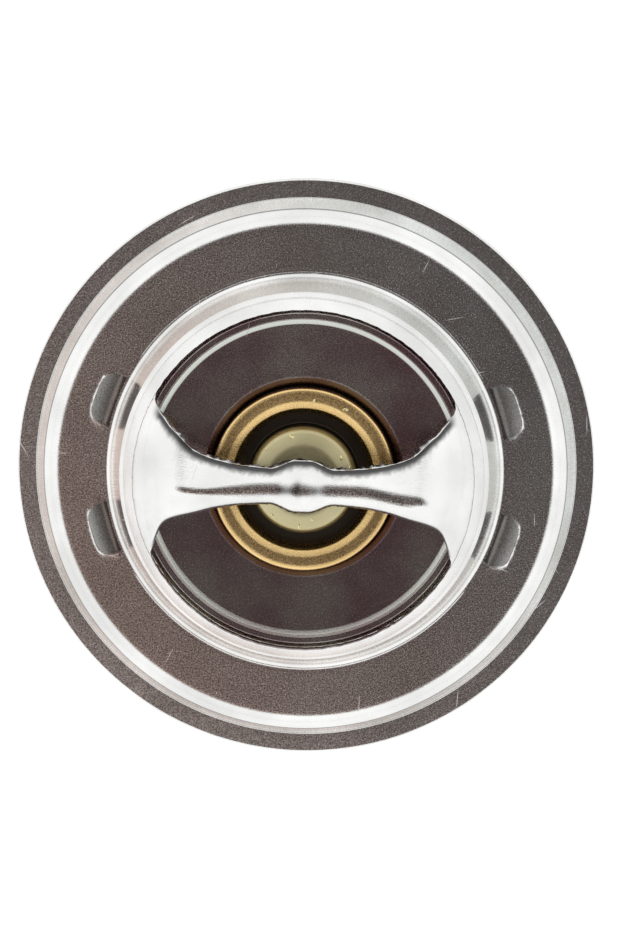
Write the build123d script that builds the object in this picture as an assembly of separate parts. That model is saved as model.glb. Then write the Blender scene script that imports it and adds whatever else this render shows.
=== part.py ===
from build123d import *
from math import asin, atan2, cos, pi, radians, sin, sqrt, tan
import os

# Engine thermostat of the flange-and-bridge pattern. Millimetres, +Z towards the outlet side.
# The origin is the centre of the rim, in the plane of its underside (the seating plane).
# The bridge strap lies along X. The valve is shut, and opens towards -Z.

# ---- Bridge flange: one steel stamping. RIM_R drives, and the other radii step inwards from it --
SHEET = 0.8                  # sheet thickness
RIM_R = 27.0                 # outer edge of the rim
RIM_WIDTH = 1.8
STEP_WIDTH = 0.75            # plan width of the steep step that rises from the rim
CREST_Z = 3.25               # top of that step
SHOULDER_WIDTH = 1.45        # plan width of the gentler slope above it
ANNULUS_Z = 4.5              # upper face of the raised flat annulus
ANNULUS_WIDTH = 4.8
WALL_LEAN = 1.0              # how far the dome wall leans in below its ledge
LEDGE_WIDTH = 0.4            # small ledge where the wall narrows to the throat
LEDGE_Z = 8.7
LEDGE_RISE = 0.25
SHOULDER_Z = 10.3            # top of the throat
HAUNCH_INSET = 1.6           # from the throat in to the corner where the cone steepens
HAUNCH_Z = 13.4
CONE_WIDTH = 2.8             # plan width of the steep cone
CROWN_Z = 16.2               # flat crown, which is the strap
STAMPING_BENDS = [0.3, 0.15, 1.7, 0.55, 0.1, 0.1, 1.2, 2.2, 1.7]    # rim inwards, inside radii

RIM_INNER_R = RIM_R - RIM_WIDTH
CREST_R = RIM_INNER_R - STEP_WIDTH
ANNULUS_R = CREST_R - SHOULDER_WIDTH
DOME_FOOT_R = ANNULUS_R - ANNULUS_WIDTH
LEDGE_R = DOME_FOOT_R - WALL_LEAN
THROAT_R = LEDGE_R - LEDGE_WIDTH         # outside of the throat that the valve plate closes
HAUNCH_R = THROAT_R - HAUNCH_INSET
CROWN_R = HAUNCH_R - CONE_WIDTH

EYE_INSET = 0.9              # the eyes' outer arc, in from the throat
EYE_CORNER_R = 0.6
EYE_R = THROAT_R - EYE_INSET
STRAP_END_X = CROWN_R + 0.1  # the arched strap runs into the cone here
STRAP_END_HALF_WIDTH = 3.9
ROOT_CURVE = [(-1.25, 22.9), (-0.09, 26.5), (2.74, 33.2)]    # (beyond the eye's arc, degrees)

STRAP_NECK_HALF_WIDTH = 1.7
STRAP_NECK_DROP = 1.15       # how far the edges fall below the flat top
STRAP_END_DROP = 0.42
STRAP_FLAT = 0.45            # half width of the flat top
STRAP_END_FLAT = 0.15
STRAP_END_INSET = 0.03       # the strap's buried end lies this far inside the cone's section
STRAP_END_OVERLAP = 0.4      # how deep it is buried
STRAP_END_THICKENING = 0.2   # share added to the sheet there
STRAP_STATIONS = 12          # sections in each half
STRAP_WIDENING_POWER = 3.2   # how late the strap widens towards its ends
STRAP_EASING_POWER = 4       # how late its flanks and flat change
STRAP_BURYING_POWER = 8
SEAT_HALF_LENGTH = 2.7       # round swelling over the piston
SEAT_EXTRA_HALF_WIDTH = 0.85
SEAT_EXTRA_DROP = 0.35
SEAT_BUMP_HALF_LENGTH = 2.0
SEAT_BUMP = 0.35

# ---- Four slots, with the frame's tongues staked up into them ------------------------------------
SLOT_ANGLE = 18.3            # from the strap's line to the middle of each slot
SLOT_WIDTH = 5.0
SLOT_STEP = 0.55             # from the dome's foot out to the slot
SLOT_DEPTH = 2.05
SLOT_CORNER_R = 1.25
TONGUE_CLEARANCE = 0.06      # between a tongue and its slot
TONGUE_RISE_STEP = 0.2       # from the slot's inner side to where the tongue starts to rise
TONGUE_SINK = 0.1            # its tip lies this far under the annulus's upper face
TONGUE_ROOT = 0.6            # length that it shares with the foot
TONGUE_BEND = 0.5

SLOT_INNER_R = DOME_FOOT_R + SLOT_STEP
SLOT_OUTER_R = SLOT_INNER_R + SLOT_DEPTH

# ---- Moving valve ----------------------------------------------------------------------------
THROAT_GAP = 0.1             # between the shut valve plate and the throat
PLATE_SHEET = 0.8
PLATE_RING_Z = 10.4          # upper face of the raised ring
PLATE_LIP_WIDTH = 0.45       # rounded-down lip outside the ring
PLATE_LIP_DROP = 0.75
PLATE_RING_WIDTH = 0.6
PLATE_STEP_WIDTH = 0.45
PLATE_FLAT_Z = 9.6
PLATE_COLLAR_Z = 7.0         # lower end of the collar on the cup
PLATE_BENDS = [0.1, 0.1, 0.1, 0.5]

PLATE_LIP_R = THROAT_R - SHEET - THROAT_GAP
PLATE_RING_R = PLATE_LIP_R - PLATE_LIP_WIDTH
PLATE_STEP_OUTER_R = PLATE_RING_R - PLATE_RING_WIDTH
PLATE_STEP_INNER_R = PLATE_STEP_OUTER_R - PLATE_STEP_WIDTH

PRESS_GAP = 0.02             # drawn gap between pieces that are pressed together

CUP_R = 8.53                 # head of the wax cup
CUP_CREST_Z = 11.5           # top of its rolled rim
CUP_EDGE_DROP = 0.1          # the roll's top falls this much to its outer edge
CUP_EDGE_R = 0.3
CUP_ROLL_WIDTH = 2.33        # from the head's outside in to the roll's bore
CUP_ROLL_R = 1.1             # rounding of the roll into its bore
CUP_WALL = 0.7
CUP_HEAD_THINNING = 0.13     # how much thicker the head's wall is than the stem's
CUP_STEM_INSET = 1.53        # from the head in to the stem
CUP_BOTTOM_Z = -27.7
CUP_BOTTOM_R = 1.6
CUP_SHOULDER_Z = 5.7         # where the head begins
CUP_SHOULDER_DROP = 0.9

CUP_BORE_R = CUP_R - CUP_WALL - CUP_HEAD_THINNING
CUP_ROLL_INNER_R = CUP_R - CUP_ROLL_WIDTH
CUP_STEM_R = CUP_R - CUP_STEM_INSET
CUP_STEM_BORE_R = CUP_STEM_R - CUP_WALL

GUIDE_BOSS_INSET = 1.15      # groove between the roll and the boss
GUIDE_BOSS_EDGE_R = 1.8
GUIDE_TOP_Z = 12.4
GUIDE_FLANGE_Z = 9.8         # upper face of the flange under the rolled rim
GUIDE_FLANGE_BOTTOM_Z = 7.9
PISTON_R = 1.9
PISTON_CLEARANCE = 0.05
PISTON_TIP_R = 0.85
PISTON_TIP_LENGTH = 1.3
PISTON_POINT_LENGTH = 2.6
PISTON_BOTTOM_Z = -9.0
PISTON_SEAT_GAP = 0.05

GUIDE_BOSS_R = CUP_ROLL_INNER_R - GUIDE_BOSS_INSET
GUIDE_FLANGE_R = CUP_BORE_R - PRESS_GAP
GUIDE_BORE_R = PISTON_R + PISTON_CLEARANCE

BOOT_FLANGE = 1.4            # thickness of the boot's flange
BOOT_WALL = 1.55
BOOT_END = 1.6               # rubber below the piston's point
BOOT_END_R = 1.2
BACKUP_RING_WIDTH = 1.35
BACKUP_RING_HEIGHT = 0.9

BOOT_SLEEVE_R = GUIDE_BORE_R + BOOT_WALL
BOOT_END_Z = PISTON_BOTTOM_Z - BOOT_END
BACKUP_RING_R = GUIDE_BORE_R + BACKUP_RING_WIDTH

# ---- Lower frame: one steel strip with a round base ------------------------------------------
FRAME_SHEET = 0.8
FOOT_MARGIN = 1.1            # foot beyond the slots
FOOT_SIDE_MARGIN = 1.5       # foot beside them
LEG_HALF_WIDTH = 6.0
LEG_CLEARANCE = 0.7          # between the leg and the open valve plate
LEG_KNEE_Z = -3.0
LEG_KNEE_BEND = 8.0
BASE_Z = -28.0               # underside of the base
BASE_BEND = 1.2              # inside radius between base and leg
BASE_MARGIN = 0.7            # base beyond the spring
FOOT_BEND = 0.8
STEM_CLEARANCE = 0.08        # between the cup's stem and the base's collar
GUIDE_COLLAR_HEIGHT = 2.8
GUIDE_COLLAR_BEND = 0.5

FOOT_R = SLOT_OUTER_R + FOOT_MARGIN
FOOT_HALF_WIDTH = (
    SLOT_OUTER_R * sin(radians(SLOT_ANGLE)) + SLOT_WIDTH / 2 * cos(radians(SLOT_ANGLE)) + FOOT_SIDE_MARGIN
)
FOOT_TOP_Z = ANNULUS_Z - SHEET
LEG_INNER_X = PLATE_LIP_R + LEG_CLEARANCE
BASE_TOP_Z = BASE_Z + FRAME_SHEET

# ---- Return spring, midway between the plate's collar and its step --------------------------------
WIRE_R = 1.0
SPRING_CLOSED_TURNS = 1.0    # at each end
SPRING_OPEN_TURNS = 4.0
SPRING_CLOSED_PITCH = 2.04   # just over the wire's thickness
SPRING_POINTS = 16           # path points in a turn
SPRING_SIDE_GAP = 0.25       # between its lowest turn and the bend of each leg

SPRING_R = (CUP_R + PRESS_GAP + PLATE_SHEET + PLATE_STEP_INNER_R) / 2    # to the middle of the wire


def limited_radii(points, wanted):
    """Corner radii of a path, each held to what the two runs beside it leave room for."""
    radii = []
    for before, corner, after, radius in zip(points, points[1:], points[2:], wanted):
        run_in = Vector(*corner) - Vector(*before)
        run_out = Vector(*after) - Vector(*corner)
        half_turn = radians(run_in.get_angle(run_out)) / 2
        room = 0.45 * min(run_in.length, run_out.length) / tan(half_turn)
        radii.append(min(radius, room))
    return radii


def left_normal(start, end):
    """Unit vector to the left of the run from start to end."""
    run = (Vector(*end) - Vector(*start)).normalized()
    return Vector(-run.Y, run.X)


def sheet_section(points, bends, thickness):
    """Section of bent sheet: a path of corner points and the same path moved left by the thickness.

    bends are the radii on the hollow side of each bend.
    """
    normals = [left_normal(start, end) for start, end in zip(points, points[1:])]
    far = [Vector(*points[0]) + normals[0] * thickness]
    near_radii = []
    far_radii = []
    for corner, before, after, bend in zip(points[1:], normals, normals[1:], bends):
        far.append(Vector(*corner) + (before + after) * (thickness / (1 + before.dot(after))))
        turns_left = before.cross(after).Z > 0
        near_radii.append(bend + thickness if turns_left else bend)
        far_radii.append(bend if turns_left else bend + thickness)
    far.append(Vector(*points[-1]) + normals[-1] * thickness)
    far = [(point.X, point.Y) for point in far]
    near_line = FilletPolyline(*points, radius=limited_radii(points, near_radii))
    far_line = FilletPolyline(*far, radius=limited_radii(far, far_radii))
    ends = [Line(points[0], far[0]), Line(points[-1], far[-1])]
    return make_face(near_line.edges() + far_line.edges() + ends)


def turned(section):
    """A full turn of a section whose X is the radius and whose Y is the height."""
    return revolve(Plane.XZ * section, Axis.Z, 360)


def ring_section(outline):
    """Closed section from (radius, height) corner points."""
    return make_face(Polyline(*outline, close=True))


def rounded(section, corners, radius):
    """The section with a radius on the corners nearest to the given points."""
    for corner in corners:
        vertex = section.vertices().sort_by_distance(Vector(*corner))[0]
        section = fillet(vertex, radius)
    return section


# ---- Bridge flange -----------------------------------------------------------------------------
def dome_shell():
    """The stamping before its eyes are punched, with a flat crown."""
    path = [
        (RIM_R, SHEET),
        (RIM_INNER_R, SHEET),
        (CREST_R, CREST_Z),
        (ANNULUS_R, ANNULUS_Z),
        (DOME_FOOT_R, ANNULUS_Z),
        (LEDGE_R, LEDGE_Z),
        (THROAT_R, LEDGE_Z + LEDGE_RISE),
        (THROAT_R, SHOULDER_Z),
        (HAUNCH_R, HAUNCH_Z),
        (CROWN_R, CROWN_Z),
        (0, CROWN_Z),
    ]
    return turned(sheet_section(path, STAMPING_BENDS, SHEET))


def eye_opening():
    """Plan of everything punched out of the crown: the eyes, and the band that the arched strap refills."""
    opening = Circle(EYE_R)
    for side in (1, -1):
        points = [(side * STRAP_END_X, STRAP_END_HALF_WIDTH)]
        for beyond, angle in ROOT_CURVE:
            reach = EYE_R + beyond
            points.append((side * reach * cos(radians(angle)), reach * sin(radians(angle))))
        upper = Spline(*points)
        lower = mirror(upper, Plane.XZ)
        outside = side * RIM_R
        half_width = points[-1][1]
        root = make_face(
            [
                upper,
                Line(upper @ 1, (outside, half_width)),
                Line((outside, half_width), (outside, -half_width)),
                Line((outside, -half_width), lower @ 1),
                lower,
                Line(lower @ 0, upper @ 0),
            ]
        )
        opening -= root
    corners = opening.vertices().filter_by(lambda vertex: abs(vertex.X) > STRAP_END_X + EYE_CORNER_R)
    return fillet(corners, EYE_CORNER_R)


def crown_height(radius):
    """Upper face of the crown's rounded edge, from the flat out to the cone."""
    cone_turn = atan2(CROWN_Z - HAUNCH_Z, CONE_WIDTH)
    edge_r = STAMPING_BENDS[-1] + SHEET
    flat_r = CROWN_R - edge_r * tan(cone_turn / 2)
    return CROWN_Z - edge_r + sqrt(edge_r**2 - max(radius - flat_r, 0) ** 2)


def swell(x, half_length):
    """1 at the middle of the strap, falling smoothly to 0 at half_length."""
    return cos(pi / 2 * min(abs(x) / half_length, 1)) ** 2


def strap_form(x):
    """Half width, top height, half width of the flat and outer radius of the strap's section at x."""
    share = abs(x) / STRAP_END_X
    seat = swell(x, SEAT_HALF_LENGTH)
    widening = STRAP_END_HALF_WIDTH - STRAP_NECK_HALF_WIDTH
    half_width = STRAP_NECK_HALF_WIDTH + widening * share**STRAP_WIDENING_POWER
    half_width += SEAT_EXTRA_HALF_WIDTH * seat
    flattening = STRAP_NECK_DROP - STRAP_END_DROP
    drop = STRAP_NECK_DROP - flattening * share**STRAP_EASING_POWER + SEAT_EXTRA_DROP * seat
    flat = STRAP_FLAT - (STRAP_FLAT - STRAP_END_FLAT) * share**STRAP_EASING_POWER
    inset = STRAP_END_INSET * share**STRAP_BURYING_POWER
    top = crown_height(abs(x)) + SEAT_BUMP * swell(x, SEAT_BUMP_HALF_LENGTH) - inset
    run = half_width - flat
    return half_width - inset, top, flat, (run**2 + drop**2) / (2 * drop)


def strap_section(x):
    """Section of the strap across X: a flat top with a round flank at each side, cut square."""
    half_width, top, flat, flank_r = strap_form(x)
    share = abs(x) / STRAP_END_X
    thickness = SHEET * (1 + STRAP_END_THICKENING * share**STRAP_EASING_POWER)
    thickness -= 2 * STRAP_END_INSET * share**STRAP_BURYING_POWER
    lean = asin((half_width - flat) / flank_r)
    centre = top - flank_r

    def on_flank(radius, angle):
        return (flat + radius * sin(angle), centre + radius * cos(angle))

    faces = []
    for radius in (flank_r, flank_r - thickness):
        right = ThreePointArc(on_flank(radius, 0), on_flank(radius, lean / 2), on_flank(radius, lean))
        left = mirror(right, Plane.YZ)
        faces.append((right, left, Line(left @ 0, right @ 0)))
    (outer_right, outer_left, over), (inner_right, inner_left, under) = faces
    ends = [Line(outer_right @ 1, inner_right @ 1), Line(outer_left @ 1, inner_left @ 1)]
    outline = [over, outer_right, outer_left, under, inner_right, inner_left, *ends]
    return Plane(origin=(x, 0, 0), x_dir=(0, 1, 0), z_dir=(1, 0, 0)) * make_face(outline)


def strap():
    """Arched bridge between the eyes, with the pressed piston seat at its middle."""
    spacing = (STRAP_END_X + STRAP_END_OVERLAP) / STRAP_STATIONS
    return loft([strap_section(spacing * i) for i in range(-STRAP_STATIONS, STRAP_STATIONS + 1)])


def slot_places():
    """The four places of the slots, two at each end of the strap."""
    return [Rot(0, 0, end + side * SLOT_ANGLE) for end in (0, 180) for side in (1, -1)]


def slot_outline(inner_r, clearance=0):
    """Plan of a slot from inner_r out, straight on its inner side and round at its outer corners."""
    depth = SLOT_OUTER_R - clearance - inner_r
    outline = Pos(inner_r + depth / 2, 0) * Rectangle(depth, SLOT_WIDTH - 2 * clearance)
    outer = outline.vertices().sort_by(Axis.X)[-2:]
    return fillet(outer, SLOT_CORNER_R - clearance)


def bridge_flange():
    body = dome_shell()
    body -= extrude(Plane.XY.offset(SHOULDER_Z - SHEET) * eye_opening(), CROWN_Z)
    body += strap()
    for place in slot_places():
        body -= place * extrude(Plane.XY.offset(SHEET) * slot_outline(SLOT_INNER_R), ANNULUS_Z)
    return body


# ---- Lower frame -------------------------------------------------------------------------------
def strip_front():
    """Front view of one leg and its foot: wide at the top, narrowing in a round sweep to the leg."""
    height = 2 * (FOOT_R - BASE_Z)
    flare = FOOT_HALF_WIDTH - LEG_HALF_WIDTH
    front = Rectangle(2 * FOOT_HALF_WIDTH, height)
    for side in (1, -1):
        notch = Rectangle(2 * flare, height, align=(Align.CENTER, Align.MAX))
        notch = Pos(side * (LEG_HALF_WIDTH + flare), LEG_KNEE_Z + flare) * notch
        inner_top = notch.vertices().sort_by_distance(Vector(side * LEG_HALF_WIDTH, LEG_KNEE_Z + flare))[0]
        front -= fillet(inner_top, flare)
    return front


def frame_half():
    """One leg with its foot, up to the round base."""
    path = [
        (FOOT_R + FRAME_SHEET, FOOT_TOP_Z),
        (LEG_INNER_X, FOOT_TOP_Z),
        (LEG_INNER_X, LEG_KNEE_Z),
        (SPRING_R + WIRE_R + SPRING_SIDE_GAP + BASE_BEND, BASE_TOP_Z),
        (SPRING_R, BASE_TOP_Z),
    ]
    section = sheet_section(path, [FOOT_BEND, LEG_KNEE_BEND, BASE_BEND], FRAME_SHEET)
    strip = extrude(Plane.XZ * section, FOOT_HALF_WIDTH, both=True)
    strip &= extrude(Plane.YZ * strip_front(), FOOT_R + FRAME_SHEET)
    strip &= extrude(Plane.XY * Circle(FOOT_R), ANNULUS_Z - BASE_Z, both=True)
    return strip


def frame_tongue():
    """A tongue lanced out of the foot, sloping up into its slot."""
    root_r = SLOT_INNER_R + TONGUE_RISE_STEP
    path = [
        (SLOT_OUTER_R, ANNULUS_Z - TONGUE_SINK),
        (root_r, FOOT_TOP_Z),
        (root_r - TONGUE_ROOT, FOOT_TOP_Z),
    ]
    section = sheet_section(path, [TONGUE_BEND], FRAME_SHEET)
    tongue = extrude(Plane.XZ * section, SLOT_WIDTH / 2, both=True)
    return tongue & extrude(Plane.XY * slot_outline(root_r - TONGUE_ROOT, TONGUE_CLEARANCE), ANNULUS_Z)


def frame_base():
    """Round base, with the collar that guides the cup's stem."""
    collar_r = CUP_STEM_R + STEM_CLEARANCE + FRAME_SHEET
    base_r = SPRING_R + WIRE_R + BASE_MARGIN
    path = [(base_r, BASE_TOP_Z), (collar_r, BASE_TOP_Z), (collar_r, BASE_TOP_Z + GUIDE_COLLAR_HEIGHT)]
    return turned(sheet_section(path, [GUIDE_COLLAR_BEND], FRAME_SHEET))


def lower_frame():
    half = frame_half()
    frame = frame_base() + half + mirror(half, Plane.YZ)
    window = extrude(Plane.XY * slot_outline(SLOT_INNER_R + TONGUE_RISE_STEP), ANNULUS_Z)
    for place in slot_places():
        frame -= place * window
        frame += place * frame_tongue()
    return frame


# ---- Valve plate -------------------------------------------------------------------------------
def valve_plate():
    path = [
        (PLATE_LIP_R, PLATE_RING_Z - PLATE_LIP_DROP),
        (PLATE_RING_R, PLATE_RING_Z),
        (PLATE_STEP_OUTER_R, PLATE_RING_Z),
        (PLATE_STEP_INNER_R, PLATE_FLAT_Z),
        (CUP_R + PRESS_GAP, PLATE_FLAT_Z),
        (CUP_R + PRESS_GAP, PLATE_COLLAR_Z),
    ]
    return turned(sheet_section(path, PLATE_BENDS, PLATE_SHEET))


# ---- Wax element -------------------------------------------------------------------------------
def wax_cup():
    """Deep-drawn cup, its rim rolled in over the guide's flange."""
    step_z = GUIDE_FLANGE_BOTTOM_Z - BOOT_FLANGE
    floor_z = CUP_BOTTOM_Z + CUP_WALL
    outer_edge = (CUP_R, CUP_CREST_Z - CUP_EDGE_DROP)
    roll_edge = (CUP_ROLL_INNER_R, CUP_CREST_Z)
    outline = [
        (0, CUP_BOTTOM_Z),
        (CUP_STEM_R, CUP_BOTTOM_Z),
        (CUP_STEM_R, CUP_SHOULDER_Z - CUP_SHOULDER_DROP),
        (CUP_R, CUP_SHOULDER_Z),
        outer_edge,
        roll_edge,
        (CUP_ROLL_INNER_R, GUIDE_FLANGE_Z),
        (CUP_BORE_R, GUIDE_FLANGE_Z),
        (CUP_BORE_R, step_z),
        (CUP_STEM_BORE_R, step_z),
        (CUP_STEM_BORE_R, floor_z),
        (0, floor_z),
    ]
    section = ring_section(outline)
    section = rounded(section, [(CUP_STEM_R, CUP_BOTTOM_Z)], CUP_BOTTOM_R)
    section = rounded(section, [(CUP_STEM_BORE_R, floor_z)], CUP_BOTTOM_R - CUP_WALL)
    section = rounded(section, [outer_edge], CUP_EDGE_R)
    section = rounded(section, [roll_edge], CUP_ROLL_R)
    return turned(section)


def piston_guide():
    """Turned boss that the piston slides in, on the flange that closes the cup."""
    recess_top = GUIDE_FLANGE_BOTTOM_Z + BACKUP_RING_HEIGHT
    recess_r = BACKUP_RING_R + PRESS_GAP
    outline = [
        (GUIDE_BORE_R, recess_top),
        (recess_r, recess_top),
        (recess_r, GUIDE_FLANGE_BOTTOM_Z),
        (GUIDE_FLANGE_R, GUIDE_FLANGE_BOTTOM_Z),
        (GUIDE_FLANGE_R, GUIDE_FLANGE_Z),
        (GUIDE_BOSS_R, GUIDE_FLANGE_Z),
        (GUIDE_BOSS_R, GUIDE_TOP_Z),
        (GUIDE_BORE_R, GUIDE_TOP_Z),
    ]
    return turned(rounded(ring_section(outline), [(GUIDE_BOSS_R, GUIDE_TOP_Z)], GUIDE_BOSS_EDGE_R))


def backup_ring():
    """Washer that keeps the rubber out of the guide's bore."""
    bottom = GUIDE_FLANGE_BOTTOM_Z
    top = bottom + BACKUP_RING_HEIGHT
    outline = [(GUIDE_BORE_R, bottom), (BACKUP_RING_R, bottom), (BACKUP_RING_R, top), (GUIDE_BORE_R, top)]
    return turned(ring_section(outline))


def rubber_boot():
    """Sleeve round the piston's point, with the flange that seals the cup."""
    top = GUIDE_FLANGE_BOTTOM_Z
    outline = [
        (GUIDE_BORE_R, top),
        (GUIDE_FLANGE_R, top),
        (GUIDE_FLANGE_R, top - BOOT_FLANGE),
        (BOOT_SLEEVE_R, top - BOOT_FLANGE),
        (BOOT_SLEEVE_R, BOOT_END_Z),
        (0, BOOT_END_Z),
        (0, PISTON_BOTTOM_Z - PISTON_CLEARANCE),
        (PISTON_TIP_R, PISTON_BOTTOM_Z - PISTON_CLEARANCE),
        (GUIDE_BORE_R, PISTON_BOTTOM_Z + PISTON_POINT_LENGTH),
    ]
    return turned(rounded(ring_section(outline), [(BOOT_SLEEVE_R, BOOT_END_Z)], BOOT_END_R))


def wax_charge():
    """Wax that fills the cup round the boot, and drives the piston out as it melts."""
    top = GUIDE_FLANGE_BOTTOM_Z - BOOT_FLANGE
    outer_r = CUP_STEM_BORE_R - PRESS_GAP
    bottom = CUP_BOTTOM_Z + CUP_WALL + PRESS_GAP
    boot_end = BOOT_END_Z - PRESS_GAP
    boot_r = BOOT_SLEEVE_R + PRESS_GAP
    outline = [
        (0, bottom),
        (outer_r, bottom),
        (outer_r, top),
        (boot_r, top),
        (boot_r, boot_end),
        (0, boot_end),
    ]
    section = rounded(ring_section(outline), [(outer_r, bottom)], CUP_BOTTOM_R - CUP_WALL)
    section = rounded(section, [(boot_r, boot_end)], BOOT_END_R)
    return turned(section)


def piston():
    """Steel pin: a blunt cone under the strap, and a point in the boot."""
    half_width, seat_top, flat, flank_r = strap_form(0)
    seat_r = flank_r - SHEET
    overhang = max(PISTON_TIP_R - flat, 0)
    top = seat_top - flank_r + sqrt(seat_r**2 - overhang**2) - PISTON_SEAT_GAP
    outline = [
        (0, PISTON_BOTTOM_Z),
        (PISTON_TIP_R, PISTON_BOTTOM_Z),
        (PISTON_R, PISTON_BOTTOM_Z + PISTON_POINT_LENGTH),
        (PISTON_R, top - PISTON_TIP_LENGTH),
        (PISTON_TIP_R, top),
        (0, top),
    ]
    return turned(ring_section(outline))


# ---- Return spring -----------------------------------------------------------------------------
def spring_rise(turn, open_pitch):
    """Height of the wire's middle above its start, after so many turns."""
    closed = min(turn, SPRING_CLOSED_TURNS)
    opened = min(max(turn - SPRING_CLOSED_TURNS, 0), SPRING_OPEN_TURNS)
    closing = max(turn - SPRING_CLOSED_TURNS - SPRING_OPEN_TURNS, 0)
    return (closed + closing) * SPRING_CLOSED_PITCH + opened * open_pitch


def return_spring():
    """Coil of round wire with closed ends, ground flat."""
    top = PLATE_FLAT_Z - PLATE_SHEET
    height = top - BASE_TOP_Z
    open_height = height - WIRE_R - 2 * SPRING_CLOSED_TURNS * SPRING_CLOSED_PITCH
    open_pitch = open_height / SPRING_OPEN_TURNS
    turns = 2 * SPRING_CLOSED_TURNS + SPRING_OPEN_TURNS
    points = []
    for step in range(round(turns * SPRING_POINTS) + 1):
        turn = step / SPRING_POINTS
        rise = BASE_TOP_Z + WIRE_R / 2 + spring_rise(turn, open_pitch)
        points.append((SPRING_R * cos(2 * pi * turn), SPRING_R * sin(2 * pi * turn), rise))
    path = Spline(*points)
    coil = sweep(Plane(path @ 0, z_dir=path % 0) * Circle(WIRE_R), path, is_frenet=True)
    slab = Pos(0, 0, (top + BASE_TOP_Z) / 2) * Cylinder(SPRING_R + 2 * WIRE_R, height)
    return coil & slab


os.makedirs("parts", exist_ok=True)

NODES = {
    "bridge_flange": bridge_flange,
    "lower_frame": lower_frame,
    "valve_plate": valve_plate,
    "wax_cup": wax_cup,
    "piston_guide": piston_guide,
    "backup_ring": backup_ring,
    "rubber_boot": rubber_boot,
    "wax_charge": wax_charge,
    "piston": piston,
    "return_spring": return_spring,
}

for name, make in NODES.items():
    export_step(make(), f"parts/{name}.step")
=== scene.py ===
import math
from bisect import bisect_left

import bmesh
import bpy
from bpy.props import FloatProperty, FloatVectorProperty, PointerProperty
from bpy.types import Operator, Panel, PropertyGroup
from mathutils import Matrix, Vector, noise


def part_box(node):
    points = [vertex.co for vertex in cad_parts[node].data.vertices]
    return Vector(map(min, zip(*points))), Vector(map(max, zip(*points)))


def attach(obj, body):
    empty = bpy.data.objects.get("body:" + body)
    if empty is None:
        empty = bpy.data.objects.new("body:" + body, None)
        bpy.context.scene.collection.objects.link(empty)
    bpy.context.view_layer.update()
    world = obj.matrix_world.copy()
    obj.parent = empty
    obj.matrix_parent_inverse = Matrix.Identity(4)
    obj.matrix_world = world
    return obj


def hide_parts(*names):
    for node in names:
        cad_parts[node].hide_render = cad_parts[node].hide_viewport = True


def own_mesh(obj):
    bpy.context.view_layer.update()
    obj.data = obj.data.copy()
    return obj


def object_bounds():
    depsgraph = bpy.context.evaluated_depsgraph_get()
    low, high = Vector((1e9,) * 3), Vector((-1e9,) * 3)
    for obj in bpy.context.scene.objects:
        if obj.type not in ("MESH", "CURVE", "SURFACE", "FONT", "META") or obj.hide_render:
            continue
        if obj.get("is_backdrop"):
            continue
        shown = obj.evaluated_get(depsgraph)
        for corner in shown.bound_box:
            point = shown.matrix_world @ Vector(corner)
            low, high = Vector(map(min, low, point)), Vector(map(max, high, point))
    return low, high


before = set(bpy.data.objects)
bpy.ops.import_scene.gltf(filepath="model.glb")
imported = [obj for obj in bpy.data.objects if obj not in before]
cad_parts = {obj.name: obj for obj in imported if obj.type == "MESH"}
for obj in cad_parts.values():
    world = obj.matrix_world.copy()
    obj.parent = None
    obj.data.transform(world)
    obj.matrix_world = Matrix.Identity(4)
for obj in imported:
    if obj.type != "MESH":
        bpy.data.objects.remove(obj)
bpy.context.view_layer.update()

bl_info = {
    "name": "Coolant valve looks",
    "version": (1, 0, 0),
    "blender": (4, 5, 0),
    "location": "3D View > Sidebar > Coolant valve",
    "description": "Finishes and fine pieces of a flange-and-bridge engine coolant valve",
    "category": "Object",
}

MM = 0.001
FLANGE_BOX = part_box("bridge_flange")
SPRING_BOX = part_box("return_spring")

# ---- Sizes of the stamping, in millimetres, worked inwards from the rim ----
RIM_R = FLANGE_BOX[1][0] / MM
CROWN_Z = 16.2
SHEET = 0.8
RIM_EDGE_R = 0.18
RIM_INNER_R = RIM_R - 1.8
CREST_R = RIM_INNER_R - 0.75
CREST_Z = 3.25
ANNULUS_R = CREST_R - 0.9
ANNULUS_Z = 4.5
DOME_FOOT_R = ANNULUS_R - 5.35
LEDGE_R = DOME_FOOT_R - 1.0
LEDGE_Z = 8.7
LEDGE_RISE = 0.25
THROAT_R = LEDGE_R - 0.4
SHOULDER_Z = 10.3
HAUNCH_R = THROAT_R - 1.6
HAUNCH_Z = 13.4
CROWN_R = HAUNCH_R - 2.8
EYE_R = THROAT_R - 0.9

SLOT_ANGLE = 18.3
SLOT_HALF_WIDTH = 2.5
SLOT_INNER_R = DOME_FOOT_R + 0.55
SLOT_OUTER_R = SLOT_INNER_R + 2.05
SLOT_CORNER_R = 1.25

COLUMNS = 360  # one for each degree of the stamping
ROOT_COLUMN = 29  # the strap's root reaches this column at each side
SLOT_COLUMNS = (11, 25)  # columns along a slot's two ends
SETTLED_COLUMN = 33  # from here on the columns are even again
ANNULUS_ROWS = (
    22.2, 21.8, 21.4, 21.1, 20.93, SLOT_OUTER_R, 20.72, 20.55, 20.3, 20.0, 19.7, 19.4, 19.1, 18.93,
    SLOT_INNER_R, 18.66,
)
EYE_ROWS = (0.3, 0.2, 0.12, 0.07, 0.035, 0.012, 0.0)  # beyond the eyes' edge
EYE_MARGIN = 0.35  # and beyond here the path's own points are the rows
EYE_ROUGH_WIDTH = 0.1
DEEPEST_CUT = 2.2 * SHEET  # of an upright punched wall
LEAST_UPWARD = 0.2
PUNCH_TAPER = 0.05
EMBOSSED_ARCS = ((28, 148), (213, 325))  # columns of the groove along the dome's foot
EMBOSSED_DEPTH = 0.035
EMBOSSED_WIDTH = 0.07
ARC_STEP = math.radians(7)
SHARP_ANGLE = math.radians(42)
TURNED_SHARP_ANGLE = math.radians(40)

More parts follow.
